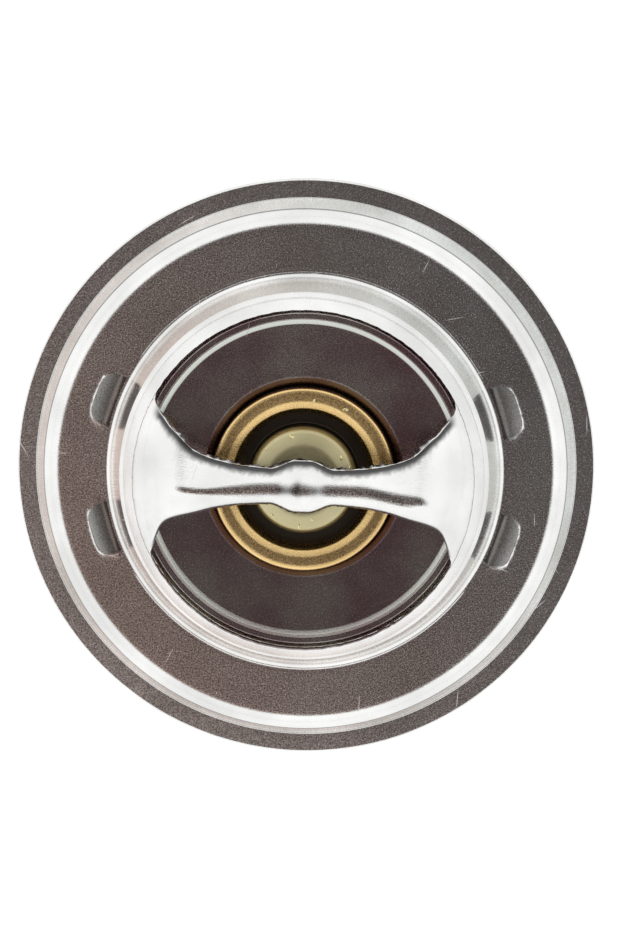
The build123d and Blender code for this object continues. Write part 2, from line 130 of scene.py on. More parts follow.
# The creases, painted with a dark line of shade, as (radius, height, half width, painted shade)
CREASES = ((CREST_R, CREST_Z, 0.14, 0.8), (RIM_INNER_R, SHEET, 0.07, 0.6))
CREASE_REACH = 0.2  # a path's point this near is on the crease
LEVEL_SLOPES = (0.978, 0.992)  # upward parts of the normals between aslant and level; the level parts take the painted reflection tint
RIM_TINT_SHARE = 0.85  # the rim takes this share of the painted reflection tint of the other level parts

# ---- Sizes of the strap. A station is a distance from the axis, and pairs are where a change runs ----
# Half width of the strap and its roots at each station
STRAP_EDGE = (
    (2.7, 1.7), (5.5, 1.86), (8.2, 2.3), (10.5, 2.95), (12.0, 3.42), (13.09, 3.9), (13.75, 4.45),
    (14.6, 5.62), (15.3, 6.62), (15.62, 7.03), (15.8, 7.36),
    (EYE_R, EYE_R * math.sin(math.radians(ROOT_COLUMN))),
)
STRAP_STATION = 0.2  # from one section to the next
STRAP_SHIFT = 0.2  # the strap's middle lies this far towards -Y
SHIFT_ENDS = (9, 13)
EDGE_CROWDING = math.radians(78)  # crowds a section's points towards its edges
ROOT_SPREAD = math.radians(ROOT_COLUMN)
SPREAD_BEGINS = 14.7
BOW_START = 6  # from here on the sections bow round the axis
BOW_ENDS = 12
ROOT_KIND_R = 12.6  # from here on the sheet is cut upright

RIDGE_R = 2.35  # rounding of the ridge
RIDGE_THINNING = 0.6
THINNING_AT_MINUS_X = (4, 11)
THINNING_AT_PLUS_X = (8.5, 12.5)
RIDGE_SHIFT = 0.32  # the ridge lies this much further towards -Y
# More of that shift along X, as (side of the axis, shift, from, to)
RIDGE_DRIFTS = ((-1, 0.4, 2, 10), (1, 0.75, 5, 10.5), (1, 0.45, 10.5, 13))
FLANK_TILT = math.radians(26)
ROOT_START = 8.2  # from here on the strap flattens into its root
ROOT_EASING = 1.25
ROOT_FLARE = 0.85  # the roots are this much wider towards +Y
FLARE_GROWS = (10.2, 13.2)
FLARE_ENDS = (13.6, 15.5)
STRAP_ROLL_R = 0.5  # rounding of the strap's -Y edge
LIP_ROLL_R = 0.05  # and of its +Y edge, where the punch left a burr
LEAST_ROLL_R = 0.02
ROLL_ENDS = (15.0, EYE_R)
ROLL_SHARE = 0.98

SEAT_HALF_LENGTH = 3.0
SEAT_EXTRA = 0.78  # the seat is this much wider at each side
SEAT_FADES = (0.6, SEAT_HALF_LENGTH)
SEAT_BUMP = 0.3
BUMP_FADES = (0.3, 2.4)
DIMPLE_X = -0.4
DIMPLE_R = 0.36
DIMPLE_DEPTH = 0.05
DIMPLE_SHIFT = 0.1
DIMPLE_WIDTH = 0.75
# Width of the painted shade in the dimple
DIMPLE_PAINTED_SHADE_WIDTH = 0.6

LIP_WIDTHS = (0.13, 0.04)  # the burr rises over this much of the +Y edge
RUN_OUT = (14.6, 15.6)  # the burr and the flank's painted shade end here
# Where the painted shade down the strap's +Y flank and its -Y flank fades
FLANK_WIDTH = (0.3, 1.0)
LOWER_FLANK_WIDTH = (0.1, 0.3)
# Painted shade along the ridge and in the dimple, with a lit gap in it
RIDGE_PAINTED_SHADE = 0.7
RIDGE_PAINTED_SHADE_WIDTH = 0.4
RIDGE_PAINTED_SHADE_FADES = (1.4, 2.6)  # away from the dimple
DIMPLE_PAINTED_SHADE = 0.85
LIT_GAP = 0.85  # a lit gap in the ridge's painted shade this far beside the dimple
LIT_GAP_R = 0.35

# ---- Sizes of the turned pieces ----
SEGMENTS = 256
POLE_R = 0.02  # the smallest radius, which closes a floor
SHARP_BEND = 0.05
CUP_WALL = 0.7
CUP_HEAD_WALL = 0.83
CUP_STEM_INSET = 1.53
CUP_ROLL_WIDTH = 2.33
CUP_SHOULDER_Z = 5.7
CUP_SHOULDER_DROP = 0.9
CUP_LEDGE_Z = 6.5
GUIDE_FLANGE_Z = 9.8  # where the cup is rolled over the guide's flange
GUIDE_BOSS_R = 5.05
GUIDE_TOP_R = 3.3
GUIDE_SLOPE_R = 4.65
PISTON_GAP = 0.03
PLATE_SHEET = 0.8
PLATE_LIP_DROP = 0.75
PLATE_LIP_WIDTH = 0.45
PLATE_RING_WIDTH = 0.6
PLATE_STEP_WIDTH = 0.5  # from the ring in to the flat
PLATE_DISH = 0.8  # the flat lies this far below the ring
COLLAR_GAP = 0.01

# Raised nicks as (angle in degrees, distance from the axis, length)
BOSS_NICKS = (
    (106, 4.2, 0.75), (141, 4.5, 0.4), (32, 4.1, 0.5), (231, 4.3, 0.45), (267, 4.25, 0.5), (284, 3.7, 0.5),
    (18, 4.5, 0.3),
)
ROLL_NICKS = ((84, 7.45, 0.4), (61, 7.6, 0.6))


# ---- Small helpers ----
def smooth_step(low, high, value):
    """0 below low, 1 above high, and an even S between them."""
    share = min(max((value - low) / (high - low), 0), 1)
    return share * share * (3 - 2 * share)


def hump(offset, width):
    """1 at an offset of 0, falling off evenly at both sides."""
    return math.exp(-((offset / width) ** 2))


def flecks(x, y, z, scale, seed):
    """Even noise from -1 to 1 at a point."""
    return noise.noise(Vector((x * scale + seed, y * scale, z * scale)))


def filleted(corners):
    """Points of a path of (radius, height, bend) corners, each turned into an arc of its bend's radius."""
    points = [Vector(corner[:2]) for corner in corners]
    path = [points[0]]
    for before, corner, after, bent in zip(points, points[1:], points[2:], corners[1:]):
        radius = bent[2]
        run_in = (corner - before).normalized()
        run_out = (after - corner).normalized()
        turn = run_in.angle_signed(run_out)
        reach = radius * math.tan(abs(turn) / 2)
        room = 0.45 * min((corner - before).length, (after - corner).length)
        if reach > room:
            radius *= room / reach
            reach = room
        start = corner - run_in * reach
        side = -1 if turn > 0 else 1
        across = Vector((-run_in.y, run_in.x)) * side
        centre = start + across * radius
        steps = max(2, round(abs(turn) / ARC_STEP))
        for step in range(steps + 1):
            spin = Matrix.Rotation(side * abs(turn) * step / steps, 2)
            path.append(centre + spin @ (start - centre))
    path.append(points[-1])
    return path


def curve_value(table, where):
    """Smooth value between the (place, value) pairs of a table, without overshoot."""
    places = [place for place, value in table]
    index = min(max(bisect_left(places, where), 1), len(table) - 1)
    (x0, y0), (x1, y1) = table[index - 1], table[index]

    def slope(i):
        if i <= 0 or i >= len(table) - 1:
            return 0.0
        left = (table[i][1] - table[i - 1][1]) / (table[i][0] - table[i - 1][0])
        right = (table[i + 1][1] - table[i][1]) / (table[i + 1][0] - table[i][0])
        return 2 * left * right / (left + right) if left * right > 0 else 0.0

    width = x1 - x0
    t = min(max((where - x0) / width, 0), 1)
    rise = (2 * t**3 - 3 * t**2 + 1) * y0 + (3 * t**2 - 2 * t**3) * y1
    return rise + ((t**3 - 2 * t**2 + t) * slope(index - 1) + (t**3 - t**2) * slope(index)) * width


def new_piece(name, mesh, material):
    """A finished piece, at the origin."""
    mesh.materials.append(material)
    return linked_piece(name, mesh)


def linked_piece(name, data):
    """An object with the given data, linked into the scene."""
    piece = bpy.data.objects.new(name, data)
    bpy.context.scene.collection.objects.link(piece)
    return piece


# ---- Bridge flange ----
def stamping_path():
    """Upper face of the stamping, from the rim's edge to the middle of the crown."""
    return filleted([
        (RIM_R, SHEET / 2, 0),
        (RIM_R, SHEET, RIM_EDGE_R),
        (RIM_INNER_R, SHEET, 0.15),
        (CREST_R, CREST_Z, 0.15),
        (ANNULUS_R, ANNULUS_Z, 1.7),
        (DOME_FOOT_R, ANNULUS_Z, 0.55),
        (LEDGE_R, LEDGE_Z, 0.6),
        (THROAT_R, LEDGE_Z + LEDGE_RISE, 0.1),
        (THROAT_R, SHOULDER_Z, 0.2),
        (HAUNCH_R, HAUNCH_Z, 3.0),
        (CROWN_R, CROWN_Z, 4.0),
        (0, CROWN_Z, 0),
    ])


def cone_height(path, radius):
    """Height of the upper face inside the throat."""
    inner = [point for point in path if point.x < THROAT_R - 0.001][::-1]
    index = min(max(bisect_left([point.x for point in inner], radius), 1), len(inner) - 1)
    low, high = inner[index - 1], inner[index]
    return low.y + (high.y - low.y) * (radius - low.x) / (high.x - low.x)


def slot_spread(radius):
    """Half the angle that the slot's columns take up at a radius, in degrees."""
    corner_r = SLOT_OUTER_R - SLOT_CORNER_R
    past = min(max(radius - corner_r, 0), SLOT_CORNER_R)
    half_width = SLOT_HALF_WIDTH - SLOT_CORNER_R + math.sqrt(SLOT_CORNER_R**2 - past**2)
    spread = math.degrees(math.asin(half_width / radius))
    even = (SLOT_COLUMNS[1] - SLOT_COLUMNS[0]) / 2
    return spread + (even - spread) * smooth_step(SLOT_OUTER_R + 0.1, ANNULUS_R - 0.4, radius)


def column_angle(column, radius):
    """Angle of a column in degrees: even, but drawn round the slots on the annulus."""
    end = 180 if 90 < column % 360 < 270 else 0
    offset = (column - end + 180) % 360 - 180
    reach = abs(offset)
    if reach >= SETTLED_COLUMN:
        return column
    first, last = SLOT_COLUMNS
    spread = slot_spread(radius)
    if reach < first:
        drawn = reach / first * (SLOT_ANGLE - spread)
    elif reach <= last:
        drawn = SLOT_ANGLE + (2 * (reach - first) / (last - first) - 1) * spread
    else:
        share = (reach - last) / (SETTLED_COLUMN - last)
        drawn = SLOT_ANGLE + spread + share * (SETTLED_COLUMN - SLOT_ANGLE - spread)
    pull = smooth_step(DOME_FOOT_R, SLOT_INNER_R, radius)
    pull *= 1 - smooth_step(ANNULUS_R - 0.6, ANNULUS_R, radius)
    return end + math.copysign(reach + (drawn - reach) * pull, offset)


def in_slot(column):
    """True if the faces from this column to the next lie in a slot's width."""
    offset = (column + 180) % 180
    first, last = SLOT_COLUMNS
    return first <= offset < last or 180 - last <= offset < 180 - first


def beside_creases(rows, point):
    """Rows close beside the creases with painted shade, between the last row and a point of the path."""
    start, end = Vector(rows[-1][:2]) if rows else point, point
    length = (end - start).length
    if length < 0.5:
        return []
    shares = []
    for radius, height, width, painted_shade in CREASES:
        if (start - Vector((radius, height))).length < CREASE_REACH:
            shares.append(width / length)
        if (end - Vector((radius, height))).length < CREASE_REACH:
            shares.append(1 - width / length)
    return [(*start.lerp(end, share), "sheet") for share in sorted(shares)]


def ring_rows(path, wander):
    """Rows of the stamping from the rim in to the eyes' edge: (radius, height, kind)."""
    rows = []
    for point in path:
        if point.x < EYE_R + EYE_MARGIN:
            break
        if rows and rows[-1][0] - point.x > 2 and abs(point.y - ANNULUS_Z) < 0.001:
            rows += [(radius, ANNULUS_Z, "flat") for radius in ANNULUS_ROWS]
        rows += beside_creases(rows, point)
        rows.append((point.x, point.y, "rim" if point.x > RIM_INNER_R + 0.4 else "sheet"))
    for inside in EYE_ROWS:
        radius = EYE_R + inside
        roll = wander * (1 - math.sqrt(1 - max(1 - inside / wander, 0) ** 2))
        rows.append((radius, cone_height(path, radius) - roll, "eye"))
    return rows


def ring_point(row, column, wander):
    """Point of a row, rough along the eyes' edge and embossed along the dome's foot."""
    radius, height, kind = row
    angle = math.radians(column_angle(column, radius))
    x, y, z = radius * math.cos(angle), radius * math.sin(angle), height
    if kind == "eye" and radius < EYE_R + EYE_ROUGH_WIDTH:
        rough = flecks(x, y, 0, scale=2.2, seed=5) + 0.7 * flecks(x, y, 0, scale=5.5, seed=2)
        weight = 1 - (radius - EYE_R) / EYE_ROUGH_WIDTH
        x *= 1 - wander * 0.45 * rough * weight / radius
        y *= 1 - wander * 0.45 * rough * weight / radius
        z += wander * 0.5 * flecks(x, y, 1, scale=3.5, seed=9) * weight
    if kind == "flat" and any(first < column < last for first, last in EMBOSSED_ARCS):
        z -= EMBOSSED_DEPTH * hump(radius - SLOT_INNER_R, EMBOSSED_WIDTH)
    return Vector((x, y, z))


def row_gloom(radius, height):
    """How much painted shade a row has, as part of a crease."""
    near = [painted_shade for r, z, width, painted_shade in CREASES if math.dist((radius, height), (r, z)) < 0.7 * width]
    return max(near, default=0.0)


def strap_edge(station, upper):
    """Half width of the strap and its root at a station."""
    seat = 1 - smooth_step(*SEAT_FADES, station)
    flare = ROOT_FLARE * smooth_step(*FLARE_GROWS, station) * (1 - smooth_step(*FLARE_ENDS, station))
    return curve_value(STRAP_EDGE, max(station, STRAP_EDGE[0][0])) + SEAT_EXTRA * seat + flare * upper


def ridge_line(along):
    """How far the ridge lies towards -Y of the strap's middle, at a place along it."""
    drifts = (drift * smooth_step(low, high, side * along) for side, drift, low, high in RIDGE_DRIFTS)
    return RIDGE_SHIFT + sum(drifts)


def ridge_fall(reach, ridge_r, tilt):
    """Fall from the ridge at a reach across the strap: a round ridge and a straight flank."""
    rounded = ridge_r * math.sin(tilt)
    if reach <= rounded:
        return ridge_r - math.sqrt(ridge_r**2 - reach**2)
    return ridge_r * (1 - math.cos(tilt)) + (reach - rounded) * math.tan(tilt)


def strap_height(path, along, y, inset, upper):
    """Height of the strap's face at a place along and across it, at a distance from its edge."""
    station = abs(along)
    thin = smooth_step(*(THINNING_AT_MINUS_X if along < 0 else THINNING_AT_PLUS_X), station)
    fade = 1 - max((station - ROOT_START) / (EYE_R - ROOT_START), 0) ** ROOT_EASING
    fall = ridge_fall(abs(y + ridge_line(along)), RIDGE_R * (1 - RIDGE_THINNING * thin), FLANK_TILT)
    roll_r = (LIP_ROLL_R if upper else STRAP_ROLL_R) * (1 - smooth_step(*ROLL_ENDS, station)) + LEAST_ROLL_R
    near = min(max(roll_r - inset, 0), roll_r * ROLL_SHARE)
    z = cone_height(path, station) - fall * fade - roll_r + math.sqrt(roll_r**2 - near**2)
    if station < SEAT_HALF_LENGTH:
        z += SEAT_BUMP * (1 - smooth_step(*BUMP_FADES, station))
        z -= DIMPLE_DEPTH * hump(along - DIMPLE_X, DIMPLE_R) * hump(y + DIMPLE_SHIFT, DIMPLE_WIDTH)
    return z


def strap_gloom(along, y, inset, lip, rough):
    """Painted shade of the strap: down its upper flank, and at the seat in the dimple and along the ridge.
    """
    if y > 0:
        flank = 1 - smooth_step(FLANK_WIDTH[0], FLANK_WIDTH[1] + 0.25 * rough, inset)
    else:
        flank = 1 - smooth_step(*LOWER_FLANK_WIDTH, inset)
    flank *= (1 - smooth_step(*RUN_OUT, abs(along))) * (1 - smooth_step(0.6, 1, lip))
    beyond = along - DIMPLE_X
    dimple = DIMPLE_PAINTED_SHADE * hump(beyond, DIMPLE_R) * hump(y + DIMPLE_SHIFT, DIMPLE_PAINTED_SHADE_WIDTH)
    ridge = RIDGE_PAINTED_SHADE * hump(y + ridge_line(along), RIDGE_PAINTED_SHADE_WIDTH)
    ridge *= 1 - smooth_step(*RIDGE_PAINTED_SHADE_FADES, abs(beyond))
    ridge *= 1 - 0.8 * hump(beyond - LIT_GAP, LIT_GAP_R)
    return max(flank, dimple, ridge)


def strap_point(path, station, side, across, wander):
    """Point on the strap or its root, and its painted shade: station from the axis, across from -1 to 1."""
    upper = across > 0
    along = side * station
    rough = flecks(along, across, 0, scale=2.6, seed=3) + 0.8 * flecks(along, across, 0, scale=7.5, seed=8)
    edge_share = smooth_step(0.93, 1, abs(across))
    half_width = strap_edge(station, upper)
    if station < EYE_R - 0.1:
        half_width += wander * 0.5 * rough * edge_share
    crowded = math.sin(EDGE_CROWDING * across) / math.sin(EDGE_CROWDING)
    evened = math.sin(ROOT_SPREAD * across) / math.sin(ROOT_SPREAD)
    y = half_width * (crowded + (evened - crowded) * smooth_step(SPREAD_BEGINS, EYE_R, station))
    x = station
    if station > BOW_START:
        x -= smooth_step(BOW_START, BOW_ENDS, station) * (station - math.sqrt(station**2 - y**2))
    inset = half_width - abs(y)
    lip = smooth_step(*LIP_WIDTHS, inset) * upper * (1 - smooth_step(*RUN_OUT, station))
    z = strap_height(path, along, y, inset, upper)
    z += wander * (0.35 * rough * edge_share + lip * (0.55 + 0.5 * rough))
    shift = STRAP_SHIFT * (1 - smooth_step(*SHIFT_ENDS, station))
    return Vector((side * x, y - shift, z)), strap_gloom(along, y, inset, lip, rough)


def flange_faces(wander):
    """Points, faces, kinds and painted shade of the stamping's upper face."""
    path = stamping_path()
    rows = ring_rows(path, wander)
    points = [ring_point(row, column, wander) for row in rows for column in range(COLUMNS)]
    kinds = [kind for radius, height, kind in rows for column in range(COLUMNS)]
    painted_shade = [row_gloom(radius, height) for radius, height, kind in rows for column in range(COLUMNS)]
    faces = []
    for row, (radius, height, kind) in enumerate(rows[:-1]):
        slotted = kind == "flat" and SLOT_INNER_R < radius <= SLOT_OUTER_R
        for column in range(COLUMNS):
            if slotted and in_slot(column):
                continue
            following = (column + 1) % COLUMNS
            outer, inner = row * COLUMNS, (row + 1) * COLUMNS
            faces.append((outer + column, outer + following, inner + following, inner + column))
    raise_slot_burrs(points, rows, wander)
    join_strap(path, points, kinds, painted_shade, faces, (len(rows) - 1) * COLUMNS, wander)
    return points, faces, kinds, painted_shade


def raise_slot_burrs(points, rows, wander):
    """Lifts the sheared sides of the slots, all but the inner one."""
    first, last = SLOT_COLUMNS
    for row, (radius, height, kind) in enumerate(rows):
        if kind != "flat" or radius > SLOT_OUTER_R or radius < SLOT_INNER_R + 0.5:
            continue
        sheared = range(first, last + 1) if radius == SLOT_OUTER_R else SLOT_COLUMNS
        for end in (0, 180):
            for side in (1, -1):
                for offset in sheared:
                    point = points[row * COLUMNS + (end + side * offset) % COLUMNS]
                    point.z += wander * (0.45 + 0.5 * flecks(point.x, point.y, 0, scale=3.0, seed=1))


def join_strap(path, points, kinds, painted_shade, faces, edge_start, wander):
    """Adds the strap between the two ends of the ring's inner row."""
    count = round(EYE_R / STRAP_STATION)
    width = 2 * ROOT_COLUMN + 1
    strips = []
    for step in range(-count, count + 1):
        side = -1 if step < 0 else 1
        if abs(step) == count:
            end = 180 if side < 0 else 0
            columns = [(end + side * (j - ROOT_COLUMN)) % COLUMNS for j in range(width)]
            strips.append([edge_start + column for column in columns])
            continue
        station = EYE_R * abs(step) / count
        strip = []
        for j in range(width):
            strip.append(len(points))
            point, shade = strap_point(path, station, side, j / ROOT_COLUMN - 1, wander)
            points.append(point)
            painted_shade.append(shade)
            kinds.append("root" if station > ROOT_KIND_R else "strap")
        strips.append(strip)
    for near, far in zip(strips, strips[1:]):
        for j in range(width - 1):
            faces.append((near[j], far[j], far[j + 1], near[j + 1]))


def lower_point(point, normal, kind):
    """The lower face's point under an upper one."""
    if kind == "rim":
        return Vector((point.x, point.y, 0))
    if kind in ("eye", "root"):
        upright = Vector((0, 0, -min(SHEET / max(normal.z, LEAST_UPWARD), DEEPEST_CUT)))
        inward = Vector((-point.x, -point.y, 0)).normalized() * PUNCH_TAPER
        return point + upright + inward
    return point - normal * SHEET


def closed_sheet(name, points, faces, kinds):
    """A closed mesh from the sheet's upper face, and the normals of that face."""
    upper = bpy.data.meshes.new(name + "_upper")
    upper.from_pydata(points, [], faces)
    upper.update()
    normals = [item.vector.copy() for item in upper.vertex_normals]
    bpy.data.meshes.remove(upper)
    count = len(points)
    lower = [lower_point(*item) for item in zip(points, normals, kinds)]
    sides = set()
    for face in faces:
        for start, end in zip(face, face[1:] + face[:1]):
            sides.add((start, end))
    walls = [(end, start, start + count, end + count) for start, end in sides if (end, start) not in sides]
    below = [tuple(index + count for index in reversed(face)) for face in faces]
    everything = [point * MM for point in points + lower]
    return smooth_mesh(name, everything, faces + below + sorted(walls), SHARP_ANGLE), normals


def smooth_mesh(name, points, faces, sharp_angle):
    """A smooth-shaded mesh with sharp edges where its faces turn by more than an angle."""
    mesh = bpy.data.meshes.new(name)
    mesh.from_pydata(points, [], faces)
    mesh.validate()
    mesh.shade_smooth()
    mesh.set_sharp_from_angle(angle=sharp_angle)
    return mesh


def paint(mesh, name, values):
    """A point attribute from 0 to 1 that a material reads."""
    layer = mesh.attributes.new(name, "FLOAT", "POINT")
    layer.data.foreach_set("value", values)


def build_flange(settings):
    """The stamped flange, with attributes for how level each point is, which sets the painted reflection
    tint, and for its painted shade, above and below alike.
    """
    points, faces, kinds, painted_shade = flange_faces(settings.burr / MM)
    mesh, normals = closed_sheet("stamped_flange", points, faces, kinds)
    level = [smooth_step(*LEVEL_SLOPES, normal.z) for normal in normals]
    for index, point in enumerate(points):
        if math.hypot(point.x, point.y) > RIM_INNER_R:
            level[index] *= RIM_TINT_SHARE
    paint(mesh, "level", level * 2)
    paint(mesh, "painted_shade", painted_shade * 2)
    return new_piece("stamped_flange", mesh, bpy.data.materials["zinc_plate"])


# ---- Wax cup, guide and valve plate ----
def lathed(name, outline, material):
    """A closed turned piece from its outline of (radius, height) points, in millimetres."""
    points = []
    for radius, height in outline:
        for step in range(SEGMENTS):
            angle = 2 * math.pi * step / SEGMENTS
            points.append(Vector((radius * math.cos(angle), radius * math.sin(angle), height)) * MM)
    faces = []
    for row in range(len(outline)):
        here, there = row * SEGMENTS, (row + 1) % len(outline) * SEGMENTS
        for step in range(SEGMENTS):
            after = (step + 1) % SEGMENTS
            faces.append((here + step, here + after, there + after, there + step))
    return new_piece(name, smooth_mesh(name, points, faces, TURNED_SHARP_ANGLE), material)


def profile_box(node_name):
    """Outer radius, lowest and highest point of a turned solid, in millimetres."""
    low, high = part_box(node_name)
    return high[0] / MM, low[2] / MM, high[2] / MM


def cup_outline():
    """The drawn cup, with the worn slope of its rolled rim."""
    outer_r, bottom, crest = profile_box("wax_cup")
    stem_r = outer_r - CUP_STEM_INSET
    stem_bore_r = stem_r - CUP_WALL
    bore_r = outer_r - CUP_HEAD_WALL
    roll_r = outer_r - CUP_ROLL_WIDTH
    return filleted([
        (POLE_R, bottom + CUP_WALL, 0),
        (stem_bore_r, bottom + CUP_WALL, 0.9),
        (stem_bore_r, CUP_LEDGE_Z, SHARP_BEND),
        (bore_r, CUP_LEDGE_Z, SHARP_BEND),
        (bore_r, GUIDE_FLANGE_Z, SHARP_BEND),
        (roll_r, GUIDE_FLANGE_Z, SHARP_BEND),
        (roll_r, crest - 0.9, 0.3),
        (roll_r + 0.45, crest - 0.22, 0.2),
        (roll_r + 1.1, crest - 0.02, 0.8),
        (outer_r - 0.5, crest, 1.0),
        (outer_r, crest - 0.1, 0.35),
        (outer_r, CUP_SHOULDER_Z, 0.5),
        (stem_r, CUP_SHOULDER_Z - CUP_SHOULDER_DROP, 0.5),
        (stem_r, bottom, 1.6),
        (POLE_R, bottom, 0),
    ])


def guide_outline():
    """The turned guide, with its flange in the cup and its round-edged boss."""
    outer_r, bottom, top = profile_box("piston_guide")
    bore_r = profile_box("piston")[0] + PISTON_GAP
    return filleted([
        (bore_r, bottom, 0),
        (bore_r, top, SHARP_BEND),
        (GUIDE_TOP_R, top, 1.4),
        (GUIDE_SLOPE_R, top - 0.4, 0.6),
        (GUIDE_BOSS_R, top - 1.3, 0.5),
        (GUIDE_BOSS_R, GUIDE_FLANGE_Z, 0.2),
        (outer_r, GUIDE_FLANGE_Z, SHARP_BEND),
        (outer_r, bottom, SHARP_BEND),
        (bore_r, bottom, 0),
    ])[:-1]


def plate_outline():
    """The stamped valve plate: lip, raised ring, flat and the soft bend into its collar."""
    lip_r, bottom, ring_z = profile_box("valve_plate")
    ring_r = lip_r - PLATE_LIP_WIDTH
    step_r = ring_r - PLATE_RING_WIDTH
    flat_z = ring_z - PLATE_DISH
    collar_r = profile_box("wax_cup")[0] + COLLAR_GAP
    return filleted([
        (lip_r, ring_z - PLATE_LIP_DROP, 0),
        (ring_r, ring_z, 0.15),
        (step_r, ring_z, 0.1),
        (step_r - 0.05, flat_z + 0.125, 0.05),
        (step_r - PLATE_STEP_WIDTH, flat_z, 0.1),
        (collar_r, flat_z, 1.0),
        (collar_r, bottom, SHARP_BEND),
        (collar_r + PLATE_SHEET, bottom, SHARP_BEND),
        (collar_r + PLATE_SHEET, flat_z - PLATE_SHEET, 0.4),
        (step_r - 0.85, flat_z - PLATE_SHEET, 0.3),
        (step_r - 0.75, ring_z - PLATE_SHEET, 0.3),
        (step_r + 0.25, ring_z - PLATE_SHEET, 0.3),
        (ring_r - 0.05, ring_z - PLATE_SHEET - 0.4, 0.1),
        (lip_r, ring_z - PLATE_LIP_DROP, 0),
    ])[:-1]


def outline_height(outline, radius):
    """Height of a turned piece's upper face at a radius."""
    heights = []
    for near, far in zip(outline, outline[1:]):
        if min(near.x, far.x) <= radius <= max(near.x, far.x) and near.x != far.x:
            heights.append(near.y + (far.y - near.y) * (radius - near.x) / (far.x - near.x))
    return max(heights)


def build_nicks(name, outline, nicks, material):
    """Small raised nicks, half sunk in a turned piece's upper face."""
    shape = bmesh.new()
    for angle, radius, length in nicks:
        turn = math.radians(angle)
        height = outline_height(outline, radius)
        middle = Vector((radius * math.cos(turn), radius * math.sin(turn), height))
        spin = Matrix.Rotation(turn * 3, 4, "Z") @ Matrix.Diagonal((length / 2, length / 4, length / 6, 1))
        place = Matrix.Translation(middle) @ spin
        made = bmesh.ops.create_icosphere(shape, subdivisions=2, radius=1, matrix=place)
        for vertex in made["verts"]:
            vertex.co += (vertex.co - middle) * 0.6 * flecks(*vertex.co, scale=9.0, seed=angle)
            vertex.co *= MM
    mesh = bpy.data.meshes.new(name)
    shape.to_mesh(mesh)
    shape.free()
    piece = new_piece(name, mesh, bpy.data.materials[material])
    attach(piece, "valve")


def build_turned(name, outline, material, node_name):
    """A turned piece that rides on the valve in place of a plain one."""
    piece = lathed(name, outline, bpy.data.materials[material])
    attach(piece, "valve")
    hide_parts(node_name)


# ---- Node helpers ----
SOCKET_KINDS = {int: "Int", float: "Float", tuple: "Color"}


def new_tree(kind, name, inputs, outputs):
    """A node group and its inputs' values. An input is given by its default or by its socket's kind."""
    tree = bpy.data.node_groups.new(name, kind)
    for key, default in inputs.items():
        socket_type = "NodeSocket" + SOCKET_KINDS.get(type(default), str(default))
        socket = tree.interface.new_socket(key, in_out="INPUT", socket_type=socket_type)
        if type(default) in SOCKET_KINDS:
            socket.default_value = default
    for key, socket_kind in outputs.items():
        tree.interface.new_socket(key, in_out="OUTPUT", socket_type="NodeSocket" + socket_kind)
    return tree, tree.nodes.new("NodeGroupInput").outputs


def socket_id(tree, name):
    """Identifier of a tree's input, by which a modifier sets it."""
    return next(item.identifier for item in tree.interface.items_tree if item.name == name)


def set_inputs(tree, made, inputs):
    """Links a node's inputs to sockets, or sets them to values."""
    for key, value in inputs.items():
        if isinstance(value, bpy.types.NodeSocket):
            tree.links.new(value, made.inputs[key])
        else:
            made.inputs[key].default_value = value


def node(tree, kind, inputs, **settings):
    """A new node with its settings and inputs."""
    made = tree.nodes.new(kind)
    for key, value in settings.items():
        setattr(made, key, value)
    set_inputs(tree, made, inputs)
    return made


def field(tree, kind, inputs, **settings):
    """First output of a new node."""
    return node(tree, kind, inputs, **settings).outputs[0]


def math_node(tree, operation, first, second=0.0, clamp=False):
    """Result of one sum, or of a function of the first value."""
    return field(tree, "ShaderNodeMath", {0: first, 1: second}, operation=operation, use_clamp=clamp)


def product(tree, first, *others):
    """All the values multiplied."""
    for other in others:
        first = math_node(tree, "MULTIPLY", first, other)
    return first


def ranged(tree, value, low, high, first, last):
    """A value that goes from first at low to last at high, and no further."""
    return field(
        tree, "ShaderNodeMapRange",
        {"Value": value, "From Min": low, "From Max": high, "To Min": first, "To Max": last},
    )


def blend_colour(tree, factor, first, second, blend_type="MIX"):
    """Two colours blended by a factor."""
    first, second = ((*tone, 1.0) if isinstance(tone, tuple) else tone for tone in (first, second))
    inputs = {0: factor, 6: first, 7: second}
    return node(tree, "ShaderNodeMix", inputs, data_type="RGBA", blend_type=blend_type).outputs[2]


def split(tree, where):
    """X, Y and Z of a vector."""
    return node(tree, "ShaderNodeSeparateXYZ", {0: where}).outputs


def axis_distance(tree, parts):
    """Distance from the Z axis, from a position's separated parts."""
    squares = [product(tree, parts[axis], parts[axis]) for axis in "XY"]
    return math_node(tree, "SQRT", math_node(tree, "ADD", *squares))


# ---- Return spring ----
CLOSED_TURNS = 1.0  # at each end
CLOSED_PITCH = 2.04  # of the closed turns, in wire radii
SPRING_STEPS = 64  # points in a turn
WIRE_SIDES = 20


